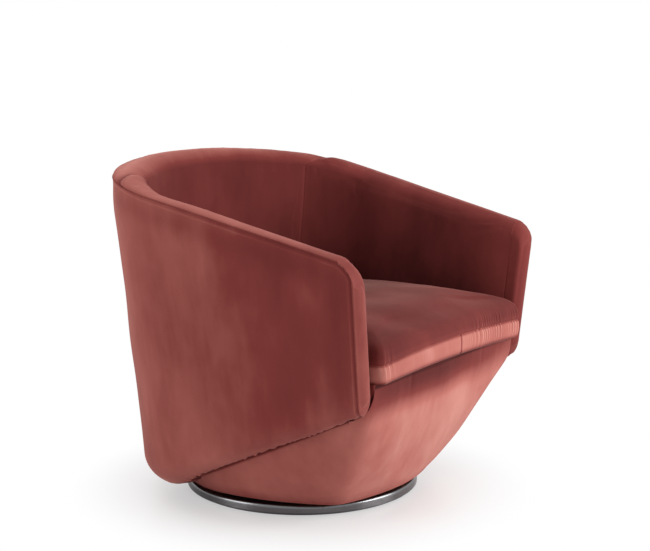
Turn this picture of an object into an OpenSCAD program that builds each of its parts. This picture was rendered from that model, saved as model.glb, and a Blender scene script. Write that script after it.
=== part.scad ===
// Swivel armchair: an upholstered tub that turns on a round metal base.
// The origin is on the floor at the swivel axis, the sitter faces -Y and Z is up. Sizes are millimetres.

/* [Tub shell] */
// Width across the outer panels at the rim, where the back curve starts
shell_w = 842; // [800:1:880]
// Outward lean of the arm panels from upright, in degrees
arm_lean = 10.2; // [8:0.1:12]
// Toe-in of the arm panels towards the front, in degrees
arm_toe = 2.9; // [1:0.1:4]
// Distance from the swivel axis back to where the back curve starts
back_start = 56; // [45:1:70]
// Depth of the back curve behind that line, at the rim
back_depth = 248; // [240:1:265]
// Backward lean of the back from upright, in degrees
back_lean = 0.5; // [0:0.1:2]
// Distance from the swivel axis forward to the arm fronts, at the rim
arm_reach = 347; // [335:1:360]
// Forward lean of the arm fronts from upright, in degrees
front_lean = 2.4; // [1:0.1:4]
// Height of the rim seam above the floor at the swivel axis
rim_h = 605; // [580:1:640]
// Fall of the rim towards the front, in degrees
rim_slope = 14; // [10:0.5:16]
// Thickness of an arm at its front
arm_t = 49; // [44:1:54]
// Thickness of the back
back_t = 62; // [56:1:70]
// Radius of an arm's upper front corner, seen from the side
corner_top_r = 36; // [24:1:48]
// Radius of an arm's lower front corner, seen from the side
corner_low_r = 14; // [8:1:24]
// Place of the seams between the outer panels, in degrees round the back curve
outer_seam = 48; // [46:1:54]
// Place of the seams between the inner pads, in degrees round the back curve
inner_seam = 42; // [36:1:45]
// Place of the joints in the bent plywood, in degrees round the back curve
core_joint = 14; // [8:1:20]

/* [Padding] */
// Rise of the padded crown above the rim seam
crown_h = 5; // [4:0.5:14]
// Radius of the crown where it turns down into the tub
crown_r = 26; // [18:1:32]
// Share of the wall's thickness at which the crown is highest, from the outside
crown_share = 0.45; // [0.4:0.01:0.55]
// Height of the sewn edge between the crown and the outer panel
seam_h = 1.5; // [1:0.1:3]
// Thickness of the outer panels
panel_t = 12; // [8:0.5:14]
// Thickness of the bent plywood inside the arms and the back
core_t = 15; // [12:1:18]
// Thickness of the padded facing on an arm's front end
facing_t = 10; // [8.5:0.5:14]
// Radius of the facing's upright edges
facing_r = 8; // [5:0.5:8]
// Gap between layers that lie against each other
layer_gap = 0.3; // [0.2:0.05:0.5]

/* [Lower edge of the shell] */
// Height of the lower edge at the arm fronts
edge_front_h = 252; // [244:1:260]
// Fall of the lower edge towards the rear, in degrees
edge_slope = 24.8; // [22:0.1:27]
// Height of the level rear part of the lower edge
edge_rear_h = 34; // [33:0.5:36]
// Half the length over which the slope eases into the level part
edge_ease = 70; // [40:1:90]
// Radius of the rolled lower edge at the arm fronts
roll_front_r = 16; // [15:0.5:20]
// Radius of the rolled lower edge at the rear
roll_rear_r = 45; // [35:1:50]
// Distance that the panels' turned-in edge runs on past the roll at the arm fronts
turn_start = 4; // [3:0.5:6]
// Growth of that distance with each millimetre of the arm, until the edge meets the plinth
turn_growth = 0.5; // [0.3:0.05:0.8]
// Gap between the turned-in edge and the plinth
turn_gap = 0.8; // [0.6:0.1:1.2]

/* [Plinth] */
// Diameter of the plinth's bottom edge, measured from front to back
plinth_d = 478; // [460:1:484]
// Share of the tub's outline in that edge, which is otherwise round
foot_share = 0.22; // [0:0.02:0.3]
// Height of the plinth's bottom edge
plinth_h0 = 29; // [27:0.5:31]
// Height of the plinth's top edge at the front
plinth_h1 = 296; // [290:0.5:297]
// Distance from the outer panels in to the plinth's side, level with the arms' lower ends
plinth_inset = 16; // [15:0.5:24]
// Distance by which the plinth's front stands in front of the arms' lower ends
plinth_proud = 1.2; // [-2:0.1:4]
// Distance by which the plinth's front leans forward from there to its top edge
plinth_front_lean = 3.5; // [1:0.5:6]
// Radius of the plinth's front corners, seen from above
plinth_corner_r = 35; // [30:1:50]
// Exponent of the face's outward growth with height: 1 is straight, less is fuller near the floor
plinth_power = 0.74; // [0.65:0.01:1]
// Thickness of the plinth's padded cover
cover_t = 6; // [4:0.5:8]
// Height that the cover runs up behind the outer panels
cover_lap = 20; // [10:1:22]
// Width of the cover turned in under the bottom board
cover_turn = 30; // [20:1:40]
// Length behind the arm fronts over which the cover stands up between the arms
front_zone = 35; // [30:1:40]
// Distance behind its edge at which the cover takes the height of the shell's lower edge
ledge_depth = 8; // [6:1:12]
// Height of the step between the cover's face and its upright part
cover_step = 1; // [0.5:0.1:1.5]
// Height that the plywood's lower edge keeps above the cover's edge
core_clear = 4; // [2:0.5:6]
// Thickness of the cloth under the bottom board
cloth_t = 0.8; // [0.5:0.1:1.2]
// Clearance between that cloth and the fixed bearing ring
cloth_gap = 6; // [4:0.5:10]

/* [Seat frame] */
// Thickness of the bottom board
board_t = 18; // [15:1:21]
// Gap between the bottom board's edge and the plinth's cover
board_gap = 1; // [0.5:0.1:2]
// Height of the seat frame's top face
seat_frame_h = 284; // [278:0.5:285]
// Thickness of the seat frame
seat_frame_t = 21; // [18:1:24]
// Width of the seat frame's members
seat_frame_w = 62; // [50:1:75]
// Length of the notches at the seat frame's front for the arms' ends
notch_len = 78; // [70:1:90]
// Thickness of the plinth's ribs
rib_t = 15; // [12:1:18]
// Width of the ribs
rib_w = 52; // [40:1:60]
// Gap between the ribs and the plinth's cover
rib_gap = 8; // [6:1:12]
// Thickness of the webbing straps
strap_t = 1.5; // [1:0.1:2]
// Width of the webbing straps
strap_w = 50; // [40:1:60]
// Distance from the seat frame's edge in to the ends of the straps
strap_inset = 14; // [10:1:20]
// Number of straps that run front to back
long_count = 5; // [3:1:5]
// Distance from the middle of one of them to the middle of the next
long_pitch = 75; // [65:1:80]
// Number of straps that run side to side
cross_count = 5; // [3:1:5]
// Distance from the front ends of the long straps to the middle of the first cross strap
cross_start = 88; // [60:1:95]
// Distance from the middle of the last cross strap to the rear ends of the long straps
cross_end = 170; // [150:1:200]
// Thickness of the seat deck
deck_t = 10; // [8:0.5:12]
// Gap between the seat deck and the plinth's cover at the sides
deck_gap = 2; // [1:0.5:4]
// Width of the steel angles under the seat frame
bracket_w = 24; // [18:1:30]
// Thickness of the steel angles
bracket_t = 3; // [2:0.5:4]
// Length of each leg of the steel angles
bracket_leg = 34; // [28:1:40]
// Gap between the steel angles and the bent plywood, for the screws' washers
bracket_gap = 2.2; // [2:0.1:3]
// Height that the foremost steel angles keep above the plinth cover's edge
bracket_clear = 13; // [10:1:16]

/* [Seat cushion] */
// Height of the cushion's border
border_h = 34; // [26:1:40]
// Rise of the crown above the border's top seam
cushion_crown = 75; // [45:1:80]
// Exponent of the crown's curve at the front: higher is flatter on top and steeper at the edge
crown_power_front = 2.3; // [1.8:0.1:3.4]
// Exponent of the crown's curve at the sides and the rear
crown_power_side = 3.8; // [1.8:0.1:4.4]
// Distance by which the border's top seam stands in front of the arm fronts
cushion_overhang = 18; // [8:1:22]
// Radius of the cushion's front corners, seen from above
cushion_corner_r = 22; // [18:1:40]
// Gap between the cushion and the inner pads
cushion_gap = 1; // [0.5:0.1:3]
// Bulge of the border between its seams
border_bulge = 3; // [1:0.5:6]
// Distance by which the underside is drawn in below the border's lower seam
border_tuck = 3; // [1:0.5:5]
// Distance from the swivel axis forward to the top of the crown
crown_forward = 30; // [10:1:60]
// Depth by which the seams draw the sides in between the corners
draw_in = 4; // [0:0.5:8]

/* [Base] */
// Diameter of the base
base_d = 480; // [470:1:500]
// Height of the base's rim
base_h = 23; // [22:0.5:24]
// Thickness of the felt pad under the base
felt_t = 3; // [2:0.5:4]
// Width of the base's rim
rim_w = 40; // [34:1:48]
// Radius of the rim's upper edge
rim_top_r = 8; // [4:0.5:9]
// Radius of the rim's lower edge
rim_low_r = 3; // [1:0.5:5]
// Height of the base plate's top face
plate_h = 18; // [16.5:0.5:19]
// Thickness of the base plate
plate_t = 6; // [5:0.5:8]
// Width of the ledge in the rim that the base plate lies on
ledge_w = 12; // [11:1:16]
// Thickness of the rim's metal under the bores of the plate screws
rim_floor = 2; // [1:0.5:3]

/* [Ball bearing] */
// Diameter of the circle that the balls run on
ball_circle_d = 250; // [230:1:260]
// Diameter of the balls
ball_d = 10; // [8:0.5:11]
// Number of balls
ball_count = 24; // [12:1:30]
// Radial clearance between a ball and its groove
groove_gap = 0.3; // [0.3:0.05:0.5]
// Radial clearance between a ball and its pocket in the cage
pocket_gap = 0.15; // [0.1:0.05:0.3]
// Width of each bearing ring
race_w = 22; // [20:1:26]
// Gap between the two bearing rings
race_gap = 6; // [5:0.5:7]
// Clearance above the fixed ring and below the turning ring
race_clear = 2; // [1:0.5:3]
// Width of the cage's wall
cage_w = 4; // [3:0.5:5]
// Height of the cage
cage_h = 13; // [11.5:0.5:14]
// Diameter of the bearing screws
screw_d = 5; // [4:0.5:6]
// Diameter of the screw heads
screw_head_d = 9; // [8:0.5:10]
// Height of the screw heads
screw_head_h = 3.5; // [2.5:0.5:4]
// Depth of the screw heads below the fixed ring's top
head_sink = 0.5; // [0.3:0.1:1]
// Width of metal between a screw head and the edge of its ring
screw_edge = 2; // [1:0.5:3]
// Distance from a screw's end to the end of its bore
screw_end_gap = 1; // [0.5:0.5:4]
// Number of screws in each ring
screw_count = 6; // [4:1:8]
// Clearance between a screw and its bore, on the radius
bore_gap = 0.1; // [0.05:0.05:0.3]

/* [Hidden] */
$fn = 96;
velvet = [0.56, 0.24, 0.22];
ply = [0.80, 0.66, 0.46];
gunmetal = [0.22, 0.22, 0.24];
steel = [0.66, 0.67, 0.69];
webbing = [0.30, 0.27, 0.25];

// Levels and lengths that follow from the sizes above
arm_len = arm_reach + back_start;
rim_fall = tan(rim_slope);
rim_front_h = rim_h - arm_reach * rim_fall;
rim_side_h = rim_h + back_start * rim_fall;
edge_fall = tan(edge_slope);
board_h = plinth_h0 + cover_t;
board_top_h = board_h + board_t;
strap_h = seat_frame_h;
deck_h = seat_frame_h + 2 * strap_t;
cushion_h = deck_h + deck_t;
cushion_seam_h = cushion_h + border_h;
ledge_gap = 2 * layer_gap;
// How far a cut runs past the faces that it opens
cut = 1;
core_d0 = panel_t + layer_gap;
core_d1 = core_d0 + core_t;
pad_d0 = core_d1 + layer_gap;
pad_h0 = deck_h + layer_gap;
// Angles round the back curve at which every layer has points
curve_places = [7, core_joint, 21, 28, 35, inner_seam, outer_seam, 55, 62, 69, 76, 83, 90];

// The shell's plan. s runs from 0 at an arm's front to 1 where the back curve starts, and on to 2 at the
// middle of the back; d is the distance in from the outer face, square to it.
function half_w(z) = shell_w / 2 + (z - rim_side_h) * tan(arm_lean);
function curve_depth(z) = back_depth + (z - rim_side_h) * tan(back_lean);
function front_y(z) = -(arm_reach + (z - rim_front_h) * tan(front_lean));
function arm_y(s, z) = front_y(z) + s * (back_start - front_y(z));
function curve_angle(s) = (s - 1) * 90;
function curve_s(angle) = 1 + angle / 90;
function side_x(y, z) = half_w(z) + (y - back_start) * tan(arm_toe);
function shell_xy(s, z) = s <= 1
  ? [side_x(arm_y(s, z), z), arm_y(s, z)]
  : [half_w(z) * cos(curve_angle(s)), back_start + curve_depth(z) * sin(curve_angle(s))];
function unit(v) = v / norm(v);
function mix(a, b, share) = a + (b - a) * share;
function out_dir(s) = s <= 1
  ? [cos(arm_toe), -sin(arm_toe)]
  : unit([cos(curve_angle(s)) / half_w(rim_front_h), sin(curve_angle(s)) / curve_depth(rim_front_h)]);
function wall_t(s) = arm_t + (back_t - arm_t) * min(1, s);
// A point of a wall at place s on the sitter's left (side 1) or right (side -1)
function wall_point(s, side, d, z) = let (p = shell_xy(s, z) - d * out_dir(s)) [side * p.x, p.y, z];

// How often a height or a depth that depends on itself is worked out again until it settles
plane_turns = 4;
face_turns = 12;

// The rim seam lies in one tilted plane and drops at the arm's front corner
function corner_drop(s, r) = let (e = r - max(0, s * arm_len)) e <= 0 ? 0 : r - sqrt(r * r - e * e);
function rim_plane(s, z, turns) = turns == 0 ? z
  : rim_plane(s, rim_h + rim_fall * shell_xy(s, z).y, turns - 1);
function rim_z(s) = rim_plane(s, rim_h, plane_turns) - corner_drop(s, corner_top_r);

// The lower edge falls in a straight line, then eases into its level rear part
edge_end_y = front_y(edge_front_h) + (edge_front_h - edge_rear_h) / edge_fall;
function edge_line(y) = edge_rear_h + (
  y <= edge_end_y - edge_ease ? edge_fall * (edge_end_y - y)
  : y >= edge_end_y + edge_ease ? 0
  : edge_fall * pow(edge_end_y + edge_ease - y, 2) / (4 * edge_ease));
function edge_plane(s, z, turns) = turns == 0 ? z
  : edge_plane(s, edge_line(shell_xy(s, z).y), turns - 1);
function edge_z(s) = edge_plane(s, edge_front_h, plane_turns) + corner_drop(s, corner_low_r);
function roll_share(s) = (edge_front_h - min(edge_front_h, edge_z(s))) / (edge_front_h - edge_rear_h);
function roll_r(s) = roll_front_r + (roll_rear_r - roll_front_r) * roll_share(s);

// Half of a tub-shaped outline from the middle of the front to the middle of the back, with x from 0 up:
// inset(s) in from the shell's outer face at height z, its straight front edge at y = front
front_steps = 6;
function tub_outline(z, inset, front, r) =
  let (
    line = function (y) side_x(y, z) - inset(0) / cos(arm_toe),
    centre = [line(front + r) - r / cos(arm_toe), front + r],
    corner_s = (front + r - front_y(z)) / (back_start - front_y(z))
  )
  concat(
    [for (k = [0:front_steps]) [centre.x * k / front_steps, front]],
    [for (a = [-75:15:-arm_toe - 1]) centre + r * [cos(a), sin(a)]],
    [for (k = [0:5]) let (s = corner_s + (1 - corner_s) * k / 6) shell_xy(s, z) - inset(s) * out_dir(s)],
    [for (a = concat([0], curve_places)) let (s = curve_s(a)) shell_xy(s, z) - inset(s) * out_dir(s)]);
function whole_outline(half) =
  concat(half, [for (k = [len(half) - 2:-1:1]) [-half[k].x, half[k].y]]);

// Up to its knee, level with the arms' lower ends, the plinth's face runs from its bottom edge out to a tub
// outline: in each direction its distance from the swivel axis grows as a power of the height. Above the knee
// its front stands up between the arms.
knee_h = edge_front_h;
plinth_reach = plinth_proud - front_y(knee_h);
plinth_half = tub_outline(knee_h, function (s) plinth_inset, -plinth_reach, plinth_corner_r);
plinth_table = [for (p = plinth_half) [atan2(p.y, p.x), norm(p)]];
function plinth_front(z) = plinth_reach + plinth_front_lean * (z - knee_h) / (plinth_h1 - knee_h);
function plinth_rho(angle, z) =
  let (
    knee = lookup(angle, plinth_table),
    foot = plinth_d / 2 * mix(1, knee / plinth_reach, foot_share),
    share = max(0, (z - plinth_h0) / (knee_h - plinth_h0))
  )
  z > knee_h ? knee * plinth_front(z) / plinth_reach : mix(foot, knee, pow(share, plinth_power));
// The bottom board is round and clears the cover where that is narrowest, at the rear
board_r = plinth_rho(90, board_h) - cover_t - board_gap;
// Distance in from the shell's outer face to the plinth's face
function to_plinth(s, z, d, turns) = turns == 0 ? d :
  let (
    q = shell_xy(s, z) - d * out_dir(s),
    rest = norm(q) - plinth_rho(atan2(q.y, q.x), z) - turn_gap
  )
  to_plinth(s, z, d + rest / max(0.4, out_dir(s) * unit(q)), turns - 1);
// The panel's turned-in edge grows from the arm front and then reaches the plinth
function turn_end(s, z) =
  min(to_plinth(s, z, panel_t, face_turns), roll_r(s) + turn_start + turn_growth * s * arm_len);

// Closed solid through a row of sections with the same number of points. The first half of a section's
// points runs along one side and the second half comes back along the other. Both sides split their
// four-cornered faces along the same diagonal, so that layers with the same sections stay parallel.
module loft(sections) {
  m = len(sections[0]);
  n = len(sections);
  sides = [for (k = [0:n - 2], i = [0:m - 1]) each
    let (a = k * m + i, b = k * m + (i + 1) % m)
    i < m / 2 ? [[a, b, b + m], [a, b + m, a + m]] : [[a, b, a + m], [b, b + m, a + m]]];
  cap = [for (i = [0:m / 2 - 2]) each [[i, m - 2 - i, i + 1], [i, m - 1 - i, m - 2 - i]]];
  last = (n - 1) * m;
  far_cap = [for (f = cap) [f[2] + last, f[1] + last, f[0] + last]];
  polyhedron([for (part = sections) each part], concat(sides, cap, far_cap));
}

// Solid whose sections run round a full turn and meet again
module ring_loft(sections) {
  m = len(sections[0]);
  n = len(sections);
  sides = [for (k = [0:n - 1], i = [0:m - 1]) each
    let (a = k * m + i, b = k * m + (i + 1) % m, c = (k + 1) % n * m + i, d = (k + 1) % n * m + (i + 1) % m)
    [[a, b, d], [a, d, c]]];
  polyhedron([for (part = sections) each part], sides);
}

// Solid from outlines stacked bottom to top, closed by a fan to a point at each end
module stack(outlines, bottom, top) {
  m = len(outlines[0]);
  n = len(outlines);
  sides = [for (k = [0:n - 2], i = [0:m - 1]) each
    let (a = k * m + i, b = k * m + (i + 1) % m) [[a, b + m, b], [a, a + m, b + m]]];
  ends = [for (i = [0:m - 1]) each let (j = (i + 1) % m)
    [[n * m, i, j], [n * m + 1, (n - 1) * m + j, (n - 1) * m + i]]];
  polyhedron(concat([for (part = outlines) each part], [bottom, top]), concat(sides, ends));
}

// Places along an arm, with more of them where its corner is round. The arms are flat, so a layer may have
// more places than the next one.
corner_steps = 4;
corner_s = [for (k = [0:corner_steps]) mix(facing_t, corner_top_r, k / corner_steps) / arm_len];
function arm_s(count) = concat(corner_s, [for (k = [1:count]) mix(corner_s[corner_steps], 1, k / count)]);
function curve_part(from, to) = [for (a = curve_places) if (a >= from && a <= to) curve_s(a)];
// Row of [s, side] over one arm up to an angle, and over the back between the two seams
function arm_row(angle, count = 6) = [for (s = concat(arm_s(count), curve_part(0, angle))) [s, 1]];
function back_row(angle) = let (row = curve_part(angle, 90))
  concat([for (s = row) [s, 1]], [for (k = [len(row) - 2:-1:0]) [row[k], -1]]);

// Section of a wall layer: one side's points, then the other side's points back
function section(st, near, far) = concat(
  [for (p = near) wall_point(st[0], st[1], p[0], p[1])],
  [for (k = [len(far) - 1:-1:0]) wall_point(st[0], st[1], far[k][0], far[k][1])]);

// Heights at which a wall layer has points, so that its leaning faces curve evenly
wall_steps = 6;
function wall_heights(top, bottom) = [for (k = [0:wall_steps]) mix(top, bottom, k / wall_steps)];

// Outer panel: straight down from the rim seam, rolled under, turned in to the plinth
function panel_side(s, d, lift) = let (r = roll_r(s), z0 = edge_z(s)) concat(
  [for (k = [0:wall_steps - 1]) [d, wall_heights(rim_z(s), z0 + r)[k]]],
  [for (a = [0:18:90]) [r - (r - d) * cos(a), z0 + r - (r - d) * sin(a)]],
  [[turn_end(s, z0 + lift), z0 + lift]]);
module outer_panel(row) {
  color(velvet)
    loft([for (st = row) section(st, panel_side(st[0], panel_t, panel_t), panel_side(st[0], 0, 0))]);
}

// Bent plywood between the outer panel and the inner pad
function core_bottom(s) = edge_z(s) + max(roll_r(s), cover_lap + core_clear);
function core_side(s, d) = [for (z = wall_heights(rim_z(s), core_bottom(s))) [d, z]];
module core(row) {
  color(ply) loft([for (st = row) section(st, core_side(st[0], core_d1), core_side(st[0], core_d0))]);
}

// Crown of the rim: an outer quarter from the seam to the top and an inner quarter down into the tub, each in
// a number of steps
function crown_outer(s, inset, steps) = let (c = wall_t(s) * crown_share - inset)
  [for (k = [0:steps]) let (a = 90 * k / steps)
    [inset + c * (1 - cos(a)), rim_z(s) + seam_h + (crown_h - seam_h) * sin(a)]];
function crown_inner(s, inset, steps) = let (c = wall_t(s) * crown_share)
  [for (k = [1:steps]) let (a = 90 * k / steps)
    [c + (wall_t(s) - inset - c) * sin(a), rim_z(s) + crown_h - crown_r * (1 - cos(a))]];

// Inner pad: lines the tub, wraps over the rim and is sewn to the outer panel
function pad_front(s) = concat(crown_outer(s, 0, 4), crown_inner(s, 0, 3),
  [for (k = [1:4]) [wall_t(s), mix(rim_z(s) + crown_h - crown_r, pad_h0, k / 4)]]);
function pad_back(s) = let (top = rim_z(s) + layer_gap) concat(
  [for (k = [0:4]) [pad_d0 * k / 4, top]],
  [for (k = [1:7]) [pad_d0, mix(top, pad_h0, k / 7)]]);
module inner_pad(row) {
  color(velvet) loft([for (st = row) section(st, pad_front(st[0]), pad_back(st[0]))]);
}

// Padded facing over the front end of an arm, with its lower inner corner rounded
function facing_outer(s, inset) = let (r = roll_front_r - inset, z0 = edge_z(s)) concat(
  [for (a = [90:-30:0]) [inset + r * (1 - cos(a)), z0 + roll_front_r * (1 - sin(a))]],
  crown_outer(s, inset, 3));
function facing_inner(s, inset) =
  let (
    z0 = edge_z(s),
    d1 = wall_t(s) - inset,
    crown = crown_inner(s, inset, 4)
  )
  concat(
    [for (a = [90:-30:0]) [d1 - crown_r * (1 - cos(a)), z0 + crown_r * (1 - sin(a))]],
    [for (k = [3:-1:0]) crown[k]]);
module arm_facing() {
  row = concat([for (a = [0:30:90]) [facing_r * (1 - cos(a)), facing_r * (1 - sin(a))]], [[facing_t, 0]]);
  color(velvet)
    loft([for (st = row) let (s = st[0] / arm_len)
      section([s, 1], facing_outer(s, st[1]), facing_inner(s, st[1]))]);
}

// The space between the arms: how far it reaches sideways, and in each direction from the swivel axis
function between_slope(z) = tan(arm_toe) - (back_t - arm_t) / cos(arm_toe) / (back_start - front_y(z));
function between_x(y, z) =
  half_w(z) - (back_t + cushion_gap) / cos(arm_toe) + (y - back_start) * between_slope(z);
function between_rho(angle, z) = angle > 60 ? plinth_rho(angle, z)
  : min(plinth_rho(angle, z), between_x(0, z) / (cos(angle) - sin(angle) * between_slope(z)));

// Padded cover of the plinth. Between the arms it stands up to its full height and keeps clear of the inner
// pads; under the arms it follows the shell's lower edge, snug round the arms' rounded lower ends, and behind
// their fronts it laps up behind the panels.
function behind_front(y) = y - front_y(knee_h);
// Height by which the plinth rises round the lower inner corner of an arm's front end
function round_lift(x, y) = let (u = min(crown_r, max(0, between_x(y, knee_h) + crown_r - x)))
  crown_r - sqrt(crown_r * crown_r - u * u);
function arm_edge(y) = let (s = (behind_front(y) + ledge_depth) / arm_len)
  edge_line(y + ledge_depth) + corner_drop(s, corner_low_r);
function cover_ledge(angle, z, turns) = turns == 0 ? z :
  let (
    x = plinth_rho(angle, z) * cos(angle),
    y = plinth_rho(angle, z) * sin(angle),
    under_arm = arm_edge(y) + round_lift(x, y) - ledge_gap,
    behind_panel = edge_line(y) + cover_lap - cover_step
  )
  cover_ledge(angle, behind_front(y) < front_zone ? under_arm : behind_panel, turns - 1);
function polar(rho, angle, z) = [rho * cos(angle), rho * sin(angle), z];
function sorted(v) = len(v) == 0 ? [] : concat(
  sorted([for (x = v) if (x < v[0]) x]), [v[0]], sorted([for (x = v) if (x > v[0]) x]));
// Directions in which the cover has a section
cover_half = sorted(concat(
  [for (p = plinth_half) atan2(p.y, p.x)],
  [for (z = [knee_h, plinth_h1]) atan2(-plinth_front(z), between_x(-plinth_front(z), z))],
  [for (b = [20:17.5:90]) atan2(-plinth_reach, between_x(-plinth_reach, knee_h) + crown_r * (1 - cos(b)))],
  [for (e = [front_zone + 1, front_zone + 8]) let (y = front_y(knee_h) + e)
    atan2(y, side_x(y, knee_h) - plinth_inset / cos(arm_toe))]));
cover_angles = concat(cover_half, [for (k = [len(cover_half) - 2:-1:1]) 180 - cover_half[k]]);
function cover_side(angle) =
  let (
    low = board_h,
    ledge = cover_ledge(angle, knee_h, face_turns),
    upright = behind_front(plinth_rho(angle, ledge) * sin(angle)) < front_zone,
    bend = upright ? min(knee_h, ledge - 2 * cover_step) : mix(low, ledge, 0.75),
    top = upright ? plinth_h1 : ledge + 2 * cover_step
  )
  concat(
    [for (z = [low, mix(low, bend, 1 / 3), mix(low, bend, 2 / 3), bend, ledge]) [plinth_rho(angle, z), z]],
    [for (z = [ledge + cover_step, top]) [between_rho(angle, z), z]]);
module plinth_cover() {
  turn_r = plinth_d / 2 - cover_turn;
  soft_h = plinth_h0 + cover_t / 4;
  color(velvet) ring_loft([for (turned = cover_angles)
    let (
      angle = turned > 90 ? 180 - turned : turned,
      side = cover_side(angle)
    )
    concat(
      [polar(turn_r, turned, plinth_h0), polar(plinth_rho(angle, plinth_h0) - cover_t / 4, turned, plinth_h0),
        polar(plinth_rho(angle, soft_h), turned, soft_h)],
      [for (p = side) polar(p[0], turned, p[1])],
      [for (k = [6:-1:0]) polar(side[k][0] - cover_t, turned, side[k][1] - (k == 5 ? cover_t : 0))],
      [polar(board_r, turned, board_h), polar(turn_r, turned, board_h)])]);
}

// Seat cushion: flat underneath, a bulged border between two drawn-in seams, a crowned top
cushion_reach = cushion_overhang - front_y(cushion_seam_h);
cushion_centre = [0, -crown_forward];
function cushion_outline(z, grow) =
  let (half = tub_outline(z,
    function (s) wall_t(s) + cushion_gap + border_bulge + draw_in * sin(180 * min(1, s)),
    -cushion_reach, cushion_corner_r))
  [for (p = whole_outline(half)) let (
    q = p - [0, back_start],
    inward = p.y < 0 && abs(p.x) < half[front_steps].x ? draw_in * (1 - pow(p.x / half[front_steps].x, 2)) : 0
  )
  [p.x + grow * unit(q).x, p.y + grow * unit(q).y + inward, z]];
// A ring of the crown: the outline drawn in to a share of its size, and rounder the smaller it is
function crown_ring(share) =
  let (round_r = cushion_reach + cushion_centre.y)
  [for (p = cushion_outline(cushion_seam_h, 0)) let (
    q = [p.x, p.y] - cushion_centre,
    r = norm(q) * share,
    xy = cushion_centre + unit(q) * mix(round_r * share, r, pow(share, 2)),
    power = mix(crown_power_side, crown_power_front, pow(max(0, -unit(q).y), 2))
  )
  [xy.x, xy.y, cushion_seam_h + cushion_crown * pow(1 - pow(share, power), 1 / power)]];
crown_rings = 8;
ring_spread = 1.9;
module seat_cushion() {
  border = [[0, -border_tuck], [0.12, 0], [0.5, border_bulge], [0.88, border_bulge / 3], [1, 0]];
  color(velvet) stack(
    concat(
      [for (b = border) cushion_outline(cushion_h + border_h * b[0], b[1])],
      [for (k = [1:crown_rings]) crown_ring(1 - pow(k / (crown_rings + 1), ring_spread))]),
    concat(cushion_centre, cushion_h), concat(cushion_centre, cushion_seam_h + cushion_crown));
}

// Plywood ring that carries the webbing, the arms and the back, notched at the front for the arms' ends
module seat_frame() {
  z0 = seat_frame_h - seat_frame_t;
  front = -plinth_front(z0) + cover_t + layer_gap;
  notch_x = between_x(front, z0) - cover_t - layer_gap;
  outer = tub_outline(z0, function (s) pad_d0, front, plinth_corner_r);
  inner = tub_outline(z0, function (s) pad_d0 + seat_frame_w, front + seat_frame_w, plinth_corner_r / 2);
  color(ply) translate([0, 0, z0]) linear_extrude(seat_frame_t) difference() {
    polygon(whole_outline(outer));
    polygon(whole_outline(inner));
    for (turn = [0, 1]) mirror([turn, 0]) translate([notch_x, front - cut])
      square([arm_t + cushion_gap, notch_len]);
  }
}

// Upright rib between the bottom board and the seat frame, in one direction from the swivel axis
module rib(angle) {
  half_angle = asin(sin(angle));
  z1 = seat_frame_h - seat_frame_t;
  r1 = between_rho(half_angle, z1) - cover_t - rib_gap;
  color(ply) rotate([0, 0, angle]) rotate([90, 0, 0]) translate([0, 0, -rib_t / 2]) linear_extrude(rib_t)
    polygon([[board_r - rib_w, board_top_h], [board_r, board_top_h], [r1, z1], [r1 - rib_w, z1]]);
}

// Straps over the seat frame: the long ones run front to back and the cross ones lie on them
strap_front = -plinth_front(seat_frame_h - seat_frame_t) + cover_t + strap_inset;
function strap_rear(x) =
  let (
    a = half_w(strap_h) - pad_d0 - strap_inset,
    b = curve_depth(strap_h) - pad_d0 - strap_inset
  )
  back_start + b * sqrt(1 - pow(x / a, 2));
module straps_long() {
  color(webbing) for (k = [0:long_count - 1]) {
    x = (k - (long_count - 1) / 2) * long_pitch;
    translate([x - strap_w / 2, strap_front, strap_h])
      cube([strap_w, strap_rear(abs(x) + strap_w / 2) - strap_front, strap_t]);
  }
}
module straps_cross() {
  color(webbing) for (k = [0:cross_count - 1]) {
    y = mix(strap_front + cross_start, strap_rear(0) - cross_end, k / (cross_count - 1));
    half = side_x(y - strap_w / 2, strap_h) - (pad_d0 + strap_inset) / cos(arm_toe);
    translate([-half, y - strap_w / 2, strap_h + strap_t]) cube([2 * half, strap_w, strap_t]);
  }
}

// Foam deck under the cushion
module seat_deck() {
  front = -plinth_front(deck_h) + cover_t + layer_gap;
  outline = tub_outline(deck_h, function (s) wall_t(s) + cushion_gap + cover_t + deck_gap, front,
    plinth_corner_r / 2);
  color(webbing) translate([0, 0, deck_h]) linear_extrude(deck_t) polygon(whole_outline(outline));
}

// Steel angles that tie the plywood shell to the underside of the seat frame. The foremost pair sits as far
// forward as the plinth cover's edge leaves room under it.
bracket_low_h = seat_frame_h - seat_frame_t - bracket_leg;
bracket_edge = bracket_low_h - bracket_clear - cover_lap;
bracket_y = edge_end_y - (bracket_edge - edge_rear_h) / edge_fall;
bracket_front = (bracket_y - front_y(bracket_low_h)) / (back_start - front_y(bracket_low_h));
bracket_places = [bracket_front, 0.7, 1.4, 1.8];
module bracket(s) {
  z1 = seat_frame_h - seat_frame_t;
  face = shell_xy(s, z1) - (core_d1 + bracket_gap) * out_dir(s);
  low = shell_xy(s, z1 - bracket_leg) - (core_d1 + bracket_gap) * out_dir(s);
  drop = (face - low) * out_dir(s);
  translate([face.x, face.y, z1]) rotate([0, 0, atan2(out_dir(s).y, out_dir(s).x)]) rotate([90, 0, 0])
    translate([0, 0, -bracket_w / 2]) linear_extrude(bracket_w) polygon([
      [0, 0], [-drop, -bracket_leg], [-drop - bracket_t, -bracket_leg],
      [-bracket_t, -bracket_t], [-bracket_leg, -bracket_t], [-bracket_leg, 0]]);
}
module tub_brackets() {
  color(steel) for (s = bracket_places, turn = [0, 1]) mirror([turn, 0, 0]) bracket(s);
}

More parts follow.
